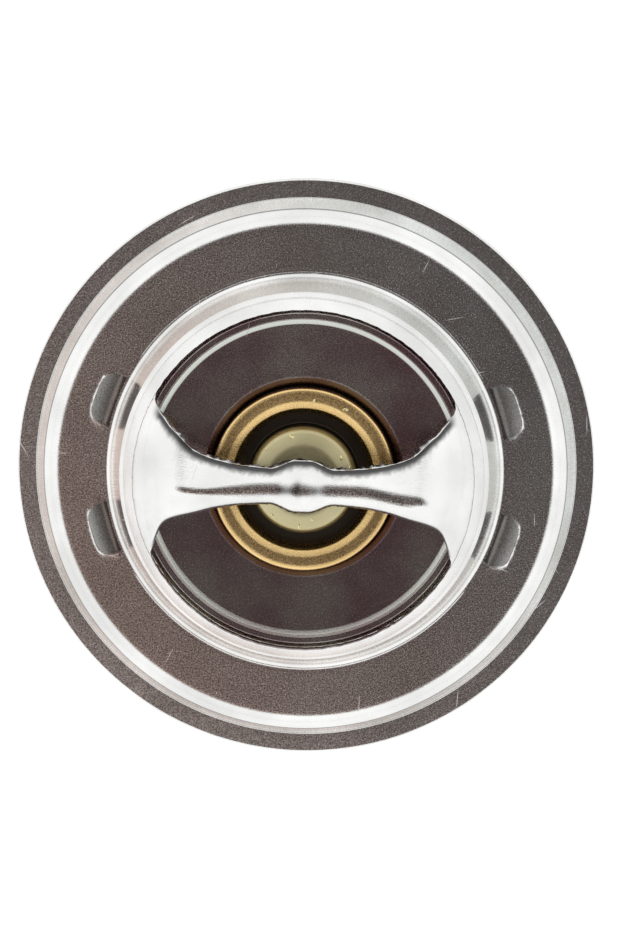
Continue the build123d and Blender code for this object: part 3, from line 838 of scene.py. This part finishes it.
def spring_tree():
    """Coil with closed turns at each end, ground flat."""
    tree, given = new_tree(
        "GeometryNodeTree", "closed_coil",
        {
            "Geometry": "Geometry", "Coil Radius": 0.01188, "Wire Radius": 0.001, "Height": 0.036,
            "Open Turns": 4.0, "Closed Turns": CLOSED_TURNS, "Steps Per Turn": SPRING_STEPS,
            "Material": "Material",
        },
        {"Geometry": "Geometry"},
    )
    closed, opened, wire = given["Closed Turns"], given["Open Turns"], given["Wire Radius"]
    turns = math_node(tree, "ADD", product(tree, closed, 2.0), opened)
    steps = product(tree, turns, given["Steps Per Turn"])
    line = field(tree, "GeometryNodeMeshLine", {"Count": steps}, mode="OFFSET")
    index = field(tree, "GeometryNodeInputIndex", {})
    last = math_node(tree, "SUBTRACT", steps, 1.0)
    turn = product(tree, math_node(tree, "DIVIDE", index, last), turns)
    pitch = product(tree, wire, CLOSED_PITCH)
    close_rise = product(tree, closed, pitch, 2.0)
    open_rise = math_node(tree, "SUBTRACT", math_node(tree, "SUBTRACT", given["Height"], wire), close_rise)
    into_open = math_node(tree, "DIVIDE", math_node(tree, "SUBTRACT", turn, closed), opened, clamp=True)
    middle = product(tree, into_open, opened, pitch)
    wound = math_node(tree, "SUBTRACT", product(tree, turn, pitch), middle)
    rise = math_node(tree, "ADD", wound, product(tree, into_open, open_rise))
    height = math_node(tree, "ADD", rise, product(tree, wire, 0.5))
    angle = product(tree, turn, 2 * math.pi)
    x = product(tree, math_node(tree, "COSINE", angle), given["Coil Radius"])
    y = product(tree, math_node(tree, "SINE", angle), given["Coil Radius"])
    place = field(tree, "ShaderNodeCombineXYZ", {"X": x, "Y": y, "Z": height})
    wound_line = field(tree, "GeometryNodeSetPosition", {"Geometry": line, "Position": place})
    path = field(tree, "GeometryNodeMeshToCurve", {"Mesh": wound_line})
    upright = field(tree, "GeometryNodeSetCurveNormal", {"Curve": path}, mode="Z_UP")
    profile = field(tree, "GeometryNodeCurvePrimitiveCircle", {"Resolution": WIRE_SIDES, "Radius": wire})
    swept = field(
        tree, "GeometryNodeCurveToMesh", {"Curve": upright, "Profile Curve": profile, "Fill Caps": True}
    )
    parts = split(tree, field(tree, "GeometryNodeInputPosition", {}))
    ground = math_node(tree, "MINIMUM", math_node(tree, "MAXIMUM", parts["Z"], 0.0), given["Height"])
    flat = field(tree, "ShaderNodeCombineXYZ", {"X": parts["X"], "Y": parts["Y"], "Z": ground})
    cut = field(tree, "GeometryNodeSetPosition", {"Geometry": swept, "Position": flat})
    smooth = field(tree, "GeometryNodeSetShadeSmooth", {"Geometry": cut})
    real = field(tree, "GeometryNodeRealizeInstances", {"Geometry": smooth})
    painted = field(tree, "GeometryNodeSetMaterial", {"Geometry": real, "Material": given["Material"]})
    node(tree, "NodeGroupOutput", {"Geometry": painted})
    return tree


def made_by_nodes(name, tree, values):
    """A plain mesh made by a Geometry Nodes tree with the given inputs."""
    carrier = linked_piece(name + "_carrier", bpy.data.meshes.new(name + "_carrier"))
    modifier = carrier.modifiers.new("nodes", "NODES")
    modifier.node_group = tree
    for key, value in values.items():
        modifier[socket_id(tree, key)] = value
    graph = bpy.context.evaluated_depsgraph_get()
    mesh = bpy.data.meshes.new_from_object(carrier.evaluated_get(graph))
    bpy.data.objects.remove(carrier)
    mesh.name = name
    return mesh


def build_spring(settings):
    """The coil, as high as the solid spring and as wide."""
    low, high = SPRING_BOX
    mesh = made_by_nodes(
        "closed_spring", spring_tree(),
        {
            "Coil Radius": (high[0] - low[0]) / 2 - settings.wire_radius,
            "Wire Radius": settings.wire_radius,
            "Height": high[2] - low[2],
            "Open Turns": settings.open_turns,
            "Closed Turns": CLOSED_TURNS,
            "Steps Per Turn": SPRING_STEPS,
            "Material": bpy.data.materials["spring_wire"],
        },
    )
    mesh.transform(Matrix.Translation((0, 0, low[2])))
    return linked_piece("closed_spring", mesh)


# ---- Shared shader groups ----
STAIN_RANGE = (0.35, 0.65)  # of the noise, from dark to light
SPECKLE_RANGE = (0.3, 0.75)  # of the noise, from smooth to rough
SPECKLE_HEIGHT = 0.7
STREAK_HEIGHT = 0.5
STREAK_ROUND = 0.024  # the streaks' noise is drawn out round the axis by these
STREAK_ACROSS = 0.16
SCRATCH_ROUGHNESS = 0.55
MOTTLE_SHADE = (0.7, 0.7, 0.7)
SCRATCH_HALF_WIDTH = (0.02 * MM, 0.06 * MM)  # from full to nothing
SCRATCH_HALF_LENGTH = (0.4 * MM, 1.4 * MM)
SHADED_SIDE = (-1.0, -0.2)  # where a ring fades, as Y against the distance from the axis


def placed_group(tree, name, where, inputs):
    """Outputs of a shared group that is placed in a material with its own values."""
    shared = bpy.data.node_groups[name]
    return node(tree, "ShaderNodeGroup", {"Vector": where, **inputs}, node_tree=shared).outputs


def grain_group():
    """Worn metal: stained colour, speckled and scratched roughness, and a grain turned round the axis."""
    tree, given = new_tree(
        "ShaderNodeTree", "turned_grain",
        {
            "Vector": "Vector",
            "Light": (1.0, 1.0, 1.0, 1.0),
            "Dark": (0.5, 0.5, 0.5, 1.0),
            "Roughness": 0.3,
            "Spread": 0.1,
            "Scratches": 0.0,
            "Speckle Scale": 7800.0,
            "Streak Scale": 2600.0,
            "Stain Scale": 150.0,
        },
        {"Color": "Color", "Roughness": "Float", "Height": "Float", "Speckle": "Float", "Stain": "Float"},
    )
    where = given["Vector"]
    speckle = field(
        tree, "ShaderNodeTexNoise",
        {"Vector": where, "Scale": given["Speckle Scale"], "Detail": 2.0, "Roughness": 0.65},
    )
    stain = field(
        tree, "ShaderNodeTexNoise", {"Vector": where, "Scale": given["Stain Scale"], "Detail": 5.0}
    )
    parts = split(tree, where)
    angle = math_node(tree, "ARCTAN2", parts["Y"], parts["X"])
    spread = field(
        tree, "ShaderNodeCombineXYZ",
        {
            "X": product(tree, angle, STREAK_ROUND),
            "Y": product(tree, axis_distance(tree, parts), STREAK_ACROSS),
        },
    )
    streak = field(
        tree, "ShaderNodeTexNoise",
        {"Vector": spread, "Scale": given["Streak Scale"], "Detail": 2.0, "Roughness": 0.6},
    )
    stained = ranged(tree, stain, *STAIN_RANGE, 0.0, 1.0)
    least = math_node(tree, "SUBTRACT", given["Roughness"], given["Spread"])
    most = math_node(tree, "ADD", given["Roughness"], given["Spread"])
    speckled = ranged(tree, speckle, *SPECKLE_RANGE, least, most)
    scratched = product(tree, given["Scratches"], SCRATCH_ROUGHNESS)
    speckle_height = product(tree, speckle, SPECKLE_HEIGHT)
    streak_height = product(tree, streak, STREAK_HEIGHT)
    node(tree, "NodeGroupOutput", {
        "Color": blend_colour(tree, stained, given["Dark"], given["Light"]),
        "Roughness": math_node(tree, "MAXIMUM", speckled, scratched),
        "Height": math_node(tree, "ADD", speckle_height, streak_height),
        "Speckle": speckle,
        "Stain": stain,
    })


def scratch_group():
    """Thin straight scratches, scattered by cells."""
    tree, given = new_tree(
        "ShaderNodeTree", "stray_scratches",
        {"Vector": "Vector", "Cell Scale": 220.0, "Amount": 0.35}, {"Mask": "Float"},
    )
    cells = node(
        tree, "ShaderNodeTexVoronoi",
        {"Vector": given["Vector"], "Scale": given["Cell Scale"], "Randomness": 1.0},
        feature="F1", voronoi_dimensions="3D",
    )
    fate = node(tree, "ShaderNodeSeparateColor", {0: cells.outputs["Color"]}).outputs
    offset = field(
        tree, "ShaderNodeVectorMath", {0: given["Vector"], 1: cells.outputs["Position"]},
        operation="SUBTRACT",
    )
    spun = field(
        tree, "ShaderNodeVectorRotate", {"Vector": offset, "Angle": product(tree, fate[0], 2 * math.pi)},
        rotation_type="Z_AXIS",
    )
    parts = split(tree, spun)
    thin = ranged(tree, math_node(tree, "ABSOLUTE", parts["Y"]), *SCRATCH_HALF_WIDTH, 1.0, 0.0)
    short = ranged(tree, math_node(tree, "ABSOLUTE", parts["X"]), *SCRATCH_HALF_LENGTH, 1.0, 0.0)
    chosen = math_node(tree, "LESS_THAN", fate[1], given["Amount"])
    node(tree, "NodeGroupOutput", {"Mask": product(tree, thin, short, chosen)})


def ring_group():
    """Painted shade or painted highlight: a tone between two distances from the axis and above a height,
    which fades towards -Y.
    """
    tree, given = new_tree(
        "ShaderNodeTree", "painted_light_ring",
        {
            "Vector": "Vector",
            "Color": (1.0, 1.0, 1.0, 1.0),
            "Tone": (1.0, 1.0, 1.0, 1.0),
            "Low": 0.0,
            "High": 0.01,
            "Floor": 0.0,
            "Soft": 0.001,
            "Shaded Share": 1.0,
        },
        {"Color": "Color"},
    )
    parts = split(tree, given["Vector"])
    radius = axis_distance(tree, parts)
    start = math_node(tree, "SUBTRACT", given["Low"], given["Soft"])
    end = math_node(tree, "ADD", given["High"], given["Soft"])
    top = math_node(tree, "ADD", given["Floor"], given["Soft"])
    outside = ranged(tree, radius, start, given["Low"], 0.0, 1.0)
    inside = ranged(tree, radius, given["High"], end, 1.0, 0.0)
    above = ranged(tree, parts["Z"], given["Floor"], top, 0.0, 1.0)
    facing = math_node(tree, "DIVIDE", parts["Y"], radius)
    lit = ranged(tree, facing, *SHADED_SIDE, given["Shaded Share"], 1.0)
    here = product(tree, outside, inside, above, lit)
    toned = blend_colour(tree, here, given["Color"], given["Tone"])
    node(tree, "NodeGroupOutput", {"Color": toned})


def mottle_group():
    """A slightly mottled tone."""
    tree, given = new_tree(
        "ShaderNodeTree", "mottled_tone",
        {"Vector": "Vector", "Color": (1.0, 1.0, 1.0, 1.0), "Scale": 900.0}, {"Color": "Color"},
    )
    mottle = field(
        tree, "ShaderNodeTexNoise", {"Vector": given["Vector"], "Scale": given["Scale"], "Detail": 4.0}
    )
    darker = blend_colour(tree, 1.0, given["Color"], MOTTLE_SHADE, "MULTIPLY")
    node(tree, "NodeGroupOutput", {"Color": blend_colour(tree, mottle, darker, given["Color"])})


# ---- Materials ----
# Painted shade in recesses: the frame's tongue roots in the slots and the groove round the guide's boss
RECESS_SHADE = (0.05, 0.04, 0.03, 1.0)
# Painted shade in the gap between the cup's rolled rim and the plate's collar
GAP_SHADE = (0.2, 0.12, 0.06, 1.0)
# Painted highlight on the valve plate's step
STEP_HIGHLIGHT = (0.62, 0.65, 0.6, 1.0)
# Tints of the painted reflection on the level parts of the stamping
REDDISH = (1.0, 0.79, 0.73)
OLIVE = (0.86, 0.88, 0.87)
# Tone of the painted shade on the flanks, the creases, the ridge and the dimple
PAINTED_SHADE_TONE = (0.055, 0.053, 0.055)
TINT_SLANT = {"X": 0.85, "Y": 0.55}  # the painted reflection tint turns from reddish to olive in this direction
TINT_RANGE = (-16 * MM, 28 * MM)
TINT_WANDER = 12 * MM
REDDISH_HAZE = 0.09  # the reddish side is this much rougher
FLECK_RANGE = (0.35, 0.65)
FLECK_TONES = (0.62, 1.15)
LEVEL_POWER = 3.0
# How far the painted shade goes towards its tone
MOST_PAINTED_SHADE = 0.97
FRESH_BRASS = ((0.98, 0.9, 0.5), (0.8, 0.7, 0.35))
BRIGHT_WIRE = ((0.55, 0.55, 0.54), (0.42, 0.42, 0.41))
GRAIN_DEPTH = 0.02 * MM


def level_tint(tree, grain, parts):
    """Colour of the level parts with a painted reflection tint and grey flecks, darker with painted shade
    where the attribute gives it, and their extra roughness.
    """
    level = node(tree, "ShaderNodeAttribute", {}, attribute_name="level").outputs["Fac"]
    painted_shade = node(tree, "ShaderNodeAttribute", {}, attribute_name="painted_shade").outputs["Fac"]
    aslant = math_node(tree, "ADD", *(product(tree, parts[axis], TINT_SLANT[axis]) for axis in "XY"))
    wandering = math_node(tree, "ADD", aslant, product(tree, grain["Stain"], TINT_WANDER))
    towards = ranged(tree, wandering, *TINT_RANGE, 0.0, 1.0)
    tint = blend_colour(tree, towards, REDDISH, OLIVE)
    fleck = ranged(tree, grain["Speckle"], *FLECK_RANGE, *FLECK_TONES)
    grey = field(tree, "ShaderNodeCombineColor", {0: fleck, 1: fleck, 2: fleck})
    settled = math_node(tree, "POWER", level, LEVEL_POWER)
    tinted = blend_colour(tree, settled, (1.0, 1.0, 1.0), blend_colour(tree, 1.0, tint, grey, "MULTIPLY"))
    levelled = blend_colour(tree, 1.0, grain["Color"], tinted, "MULTIPLY")
    colour = blend_colour(tree, product(tree, painted_shade, MOST_PAINTED_SHADE), levelled, PAINTED_SHADE_TONE)
    return colour, product(tree, math_node(tree, "SUBTRACT", 1.0, towards), level, REDDISH_HAZE)


def new_material(name):
    """A material with its tree, its shader and the object's coordinates."""
    material = bpy.data.materials.new(name)
    material.use_nodes = True
    tree = material.node_tree
    return tree, tree.nodes["Principled BSDF"], node(tree, "ShaderNodeTexCoord", {}).outputs["Object"]


def metal(name, tones, roughness, spread, bump, scratches=0.3, ring=None, painted=False):
    """A plated or turned metal, light and dark in stains.

    ring holds the values of the ring group, a band of painted shade or painted highlight. A painted piece
    is given a painted reflection tint where it is level and painted shade, both from its attributes.
    """
    tree, shader, where = new_material(name)
    scratch = placed_group(tree, "stray_scratches", where, {"Amount": scratches})
    light, dark = ((*tone, 1.0) for tone in tones)
    grain = placed_group(
        tree, "turned_grain", where,
        {
            "Light": light, "Dark": dark, "Roughness": roughness, "Spread": spread,
            "Scratches": scratch["Mask"],
        },
    )
    colour, rough = grain["Color"], grain["Roughness"]
    if painted:
        parts = split(tree, where)
        colour, haze = level_tint(tree, grain, parts)
        rough = math_node(tree, "ADD", rough, haze)
    if ring:
        colour = placed_group(tree, "painted_light_ring", where, {"Color": colour, **ring})["Color"]
    relief = field(
        tree, "ShaderNodeBump", {"Height": grain["Height"], "Strength": bump, "Distance": GRAIN_DEPTH}
    )
    set_inputs(tree, shader, {"Metallic": 1.0, "Base Color": colour, "Roughness": rough, "Normal": relief})


def dull(name, colour, roughness):
    """A dull unplated material with a slightly mottled tone."""
    tree, shader, where = new_material(name)
    mottled = placed_group(tree, "mottled_tone", where, {"Color": (*colour, 1.0)})
    set_inputs(tree, shader, {"Base Color": mottled["Color"], "Roughness": roughness})


def build_materials(settings):
    """The shared groups, and every material that the pieces take."""
    grain_group()
    scratch_group()
    ring_group()
    mottle_group()
    metal(
        "zinc_plate", (settings.zinc_light, settings.zinc_dark), roughness=0.2, spread=0.1, bump=0.6,
        painted=True,
    )
    # Painted shade on the frame's tongues at their roots inside the slots
    metal(
        "frame_plate", (settings.frame_light, settings.frame_dark), roughness=0.28, spread=0.08, bump=0.2,
        ring={"Tone": RECESS_SHADE, "High": 18.6 * MM, "Floor": 2.5 * MM, "Soft": 1.6 * MM},
    )
    # Painted highlight on the valve plate's step, dimmer towards -Y
    step = {"Low": 14.45 * MM, "High": 14.75 * MM, "Floor": 9 * MM, "Soft": 0.12 * MM}
    metal(
        "grained_plate", (settings.plate_light, settings.plate_dark), roughness=0.22, spread=0.1, bump=0.7,
        scratches=0.06, ring={"Tone": STEP_HIGHLIGHT, "Shaded Share": 0.45, **step},
    )
    # Painted shade on the cup's outer edge, in the gap by the plate's collar
    cup_edge = {"Low": 8.5 * MM, "High": 9 * MM, "Floor": 7 * MM, "Soft": 0.05 * MM}
    metal(
        "tarnished_copper", (settings.copper_light, settings.copper_dark), roughness=0.28, spread=0.1,
        bump=0.7, scratches=0.1, ring={"Tone": GAP_SHADE, **cup_edge},
    )
    # Painted shade in the groove round the guide's boss
    groove = {"Low": 5.03 * MM, "High": 8 * MM, "Floor": 9 * MM, "Soft": 0.15 * MM}
    metal(
        "turned_brass", (settings.brass_light, settings.brass_dark), roughness=0.42, spread=0.08, bump=0.4,
        scratches=0.1, ring={"Tone": RECESS_SHADE, **groove},
    )
    metal("fresh_brass", FRESH_BRASS, roughness=0.3, spread=0.05, bump=0.3, scratches=0.0)
    metal("spring_wire", BRIGHT_WIRE, roughness=0.3, spread=0.05, bump=0.2)
    dull("matt_rubber", (0.05, 0.05, 0.05), roughness=0.6)
    dull("pale_plastic", (0.85, 0.84, 0.8), roughness=0.4)
    dull("wax_and_copper", (0.75, 0.45, 0.25), roughness=0.6)


def dress(node_name, material_name):
    """Gives a plain piece its material."""
    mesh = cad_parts[node_name].data
    mesh.materials.clear()
    mesh.materials.append(bpy.data.materials[material_name])


# ---- Stage ----
# The tent's tones, as (height of the direction, colour), with a dark opening overhead
TENT_TONES = (
    (0.0, (0.92, 0.93, 0.93)),
    (0.2, (1.0, 1.0, 1.0)),
    (0.86, (1.06, 1.07, 1.06)),
    (0.945, (0.11, 0.09, 0.087)),
    (1.0, (0.09, 0.074, 0.07)),
)
WHITE = (1, 1, 1, 1)
TENT_GLOW = 0.85  # on all that is not a reflection
FLOOR_TONE = (0.9, 0.9, 0.9, 1)
FLOOR_HALF = 1.5  # metres
FLOOR_DROP = 0.02 * MM
FLOOR_GLOW = 0.55  # seen by the camera
MIRRORED_GLOW = 0.45  # share of it in reflections
LEAN_X = math.radians(1.2)
LEAN_Y = math.radians(6.9)
ROLL = math.radians(1.75)
PICTURE_WIDTH = 621  # these three in pixels
RIM_WIDTH = 577
SIDE_SHIFT = 4.26
CAMERA_DISTANCE = 1.4  # metres


def world_light():
    """A white tent with a dark opening overhead, seen only by reflection."""
    world = bpy.data.worlds.new("tent")
    bpy.context.scene.world = world
    world.use_nodes = True
    tree = world.node_tree
    tree.nodes.clear()
    direction = node(tree, "ShaderNodeTexCoord", {}).outputs["Generated"]
    parts = split(tree, direction)
    ramp = node(tree, "ShaderNodeValToRGB", {0: parts["Z"]})
    stops = ramp.color_ramp.elements
    stops.remove(stops[1])
    for index, (height, tone) in enumerate(TENT_TONES):
        stop = stops.new(height) if index else stops[0]
        stop.position = height
        stop.color = (*tone, 1)
    rays = node(tree, "ShaderNodeLightPath", {}).outputs
    plain = field(tree, "ShaderNodeBackground", {"Color": WHITE, "Strength": TENT_GLOW})
    mirrored = field(tree, "ShaderNodeBackground", {"Color": ramp.outputs[0], "Strength": 1.0})
    white = field(tree, "ShaderNodeBackground", {"Color": WHITE, "Strength": 1.0})
    lit = field(tree, "ShaderNodeMixShader", {0: rays["Is Glossy Ray"], 1: plain, 2: mirrored})
    seen = field(tree, "ShaderNodeMixShader", {0: rays["Is Camera Ray"], 1: lit, 2: white})
    node(tree, "ShaderNodeOutputWorld", {"Surface": seen})


def white_floor():
    """White floor under the piece, which keeps a soft shadow."""
    half = FLOOR_HALF
    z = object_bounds()[0][2] - FLOOR_DROP
    mesh = bpy.data.meshes.new("floor")
    corners = [(-half, -half, z), (half, -half, z), (half, half, z), (-half, half, z)]
    mesh.from_pydata(corners, [], [(0, 1, 2, 3)])
    material = bpy.data.materials.new("floor_white")
    material.use_nodes = True
    tree = material.node_tree
    tree.nodes.clear()
    rays = node(tree, "ShaderNodeLightPath", {}).outputs
    matt = field(tree, "ShaderNodeBsdfDiffuse", {"Color": FLOOR_TONE})
    glow = field(tree, "ShaderNodeEmission", {"Color": WHITE, "Strength": FLOOR_GLOW})
    none = field(tree, "ShaderNodeEmission", {"Color": (0, 0, 0, 1), "Strength": 0.0})
    mirrored = product(tree, rays["Is Glossy Ray"], MIRRORED_GLOW)
    seen = math_node(tree, "MAXIMUM", rays["Is Camera Ray"], mirrored)
    part = field(tree, "ShaderNodeMixShader", {0: seen, 1: none, 2: glow})
    both = field(tree, "ShaderNodeAddShader", {0: matt, 1: part})
    node(tree, "ShaderNodeOutputMaterial", {"Surface": both})
    piece = new_piece("floor", mesh, material)
    piece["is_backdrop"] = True


def straight_down_camera():
    """A long lens almost straight above the outlet side."""
    frame_width = PICTURE_WIDTH * 54 / RIM_WIDTH * MM
    back = Vector((math.sin(LEAN_X), math.sin(LEAN_Y), 0))
    back.z = math.sqrt(1 - back.length_squared)
    right = Vector((0, 1, 0)).cross(back).normalized()
    up = back.cross(right)
    rolled_right = right * math.cos(ROLL) + up * math.sin(ROLL)
    rolled_up = up * math.cos(ROLL) - right * math.sin(ROLL)
    aim = Vector((0, 0, SHEET / 2 * MM)) + rolled_right * (SIDE_SHIFT / PICTURE_WIDTH * frame_width)
    data = bpy.data.cameras.new("camera")
    data.sensor_fit = "HORIZONTAL"
    data.sensor_width = 36
    data.lens = CAMERA_DISTANCE * data.sensor_width / frame_width
    data.clip_start = 0.01
    data.clip_end = 20
    piece = linked_piece("camera", data)
    turn = Matrix((rolled_right, rolled_up, back)).transposed()
    piece.matrix_world = Matrix.Translation(aim + back * CAMERA_DISTANCE) @ turn.to_4x4()
    bpy.context.scene.camera = piece


# ---- Add-on ----
def tone_property(name, description, default):
    """A colour that a user would change."""
    return FloatVectorProperty(
        name=name, description=description, default=default, size=3, min=0, max=1, subtype="COLOR"
    )


class CoolantValveSettings(PropertyGroup):
    """What a user would change"""

    burr: FloatProperty(
        name="Burr", description="Height and wander of the punched edges", default=0.0001, min=0.00001,
        subtype="DISTANCE", unit="LENGTH", precision=5,
    )
    wire_radius: FloatProperty(
        name="Spring wire radius", description="Radius of the spring's wire", default=0.001, min=0.0002,
        subtype="DISTANCE", unit="LENGTH", precision=5,
    )
    open_turns: FloatProperty(
        name="Open turns", description="Turns of the spring between its closed ends", default=4.0, min=1.0
    )
    zinc_light: tone_property("Zinc light", "Lighter tone of the plated stamping", (0.95, 0.95, 0.94))
    zinc_dark: tone_property("Zinc dark", "Darker tone of the plated stamping", (0.78, 0.78, 0.765))
    frame_light: tone_property("Frame light", "Lighter tone of the lower frame", (0.58, 0.57, 0.56))
    frame_dark: tone_property("Frame dark", "Darker tone of the lower frame", (0.46, 0.45, 0.44))
    plate_light: tone_property("Plate light", "Lighter tone of the valve plate", (0.54, 0.50, 0.47))
    plate_dark: tone_property("Plate dark", "Darker tone of the valve plate", (0.38, 0.26, 0.28))
    copper_light: tone_property("Copper light", "Lighter tone of the wax cup", (1.0, 0.71, 0.33))
    copper_dark: tone_property("Copper dark", "Tarnished tone of the wax cup", (0.82, 0.57, 0.25))
    brass_light: tone_property("Brass light", "Lighter tone of the piston guide", (0.66, 0.60, 0.37))
    brass_dark: tone_property("Brass dark", "Tarnished tone of the piston guide", (0.52, 0.46, 0.27))


class VALVE_OT_materials(Operator):
    """Make the metals and the plain materials"""

    bl_idname = "coolant_valve.materials"
    bl_label = "Make materials"

    def execute(self, context):
        build_materials(context.scene.coolant_valve)
        return {"FINISHED"}


class VALVE_OT_plain_pieces(Operator):
    """Give each plain piece its metal, rubber, plastic or wax"""

    bl_idname = "coolant_valve.plain_pieces"
    bl_label = "Dress plain pieces"

    def execute(self, context):
        for node_name, material_name in {
            "lower_frame": "frame_plate",
            "backup_ring": "pale_plastic",
            "rubber_boot": "matt_rubber",
            "wax_charge": "wax_and_copper",
            "piston": "spring_wire",
        }.items():
            dress(node_name, material_name)
        return {"FINISHED"}


class VALVE_OT_flange(Operator):
    """Stamp the bridge flange with its eyes, strap and slots"""

    bl_idname = "coolant_valve.flange"
    bl_label = "Build bridge flange"

    def execute(self, context):
        piece = build_flange(context.scene.coolant_valve)
        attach(piece, "housing")
        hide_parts("bridge_flange")
        return {"FINISHED"}


class VALVE_OT_turned(Operator):
    """Turn the wax cup, the piston guide and the valve plate, with their nicks"""

    bl_idname = "coolant_valve.turned"
    bl_label = "Build turned pieces"

    def execute(self, context):
        build_turned("drawn_cup", cup_outline(), "tarnished_copper", "wax_cup")
        build_turned("turned_guide", guide_outline(), "turned_brass", "piston_guide")
        build_turned("stamped_plate", plate_outline(), "grained_plate", "valve_plate")
        build_nicks("boss_nicks", guide_outline(), BOSS_NICKS, "fresh_brass")
        build_nicks("roll_nicks", cup_outline(), ROLL_NICKS, "fresh_brass")
        return {"FINISHED"}


class VALVE_OT_spring(Operator):
    """Wind the return spring, as high as the plain one"""

    bl_idname = "coolant_valve.spring"
    bl_label = "Wind return spring"

    def execute(self, context):
        piece = build_spring(context.scene.coolant_valve)
        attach(piece, "housing")
        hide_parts("return_spring")
        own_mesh(piece)
        return {"FINISHED"}


class VALVE_OT_stage(Operator):
    """Set up the white tent, the floor and the camera"""

    bl_idname = "coolant_valve.stage"
    bl_label = "Set up stage"

    def execute(self, context):
        world_light()
        white_floor()
        straight_down_camera()
        context.scene.view_settings.view_transform = "Standard"
        return {"FINISHED"}


OPERATORS = (
    VALVE_OT_materials, VALVE_OT_plain_pieces, VALVE_OT_flange, VALVE_OT_turned, VALVE_OT_spring,
    VALVE_OT_stage,
)


class VALVE_PT_panel(Panel):
    """Lists the settings, and the pieces in the order in which they are built"""

    bl_idname = "VALVE_PT_panel"
    bl_label = "Coolant valve"
    bl_space_type = "VIEW_3D"
    bl_region_type = "UI"
    bl_category = "Coolant valve"

    def draw(self, context):
        settings = context.scene.coolant_valve
        for name in CoolantValveSettings.__annotations__:
            self.layout.prop(settings, name)
        for operator in OPERATORS:
            self.layout.operator(operator.bl_idname)


def register():
    """Registers the settings, the operators and the panel."""
    for made in (CoolantValveSettings, *OPERATORS, VALVE_PT_panel):
        bpy.utils.register_class(made)
    bpy.types.Scene.coolant_valve = PointerProperty(type=CoolantValveSettings)


def unregister():
    """Takes them off again."""
    del bpy.types.Scene.coolant_valve
    for made in reversed((CoolantValveSettings, *OPERATORS, VALVE_PT_panel)):
        bpy.utils.unregister_class(made)


def main():
    """Builds every piece and the stage."""
    register()
    bpy.ops.coolant_valve.materials()
    bpy.ops.coolant_valve.plain_pieces()
    bpy.ops.coolant_valve.flange()
    bpy.ops.coolant_valve.turned()
    bpy.ops.coolant_valve.spring()
    bpy.ops.coolant_valve.stage()


if __name__ == "__main__":
    main()
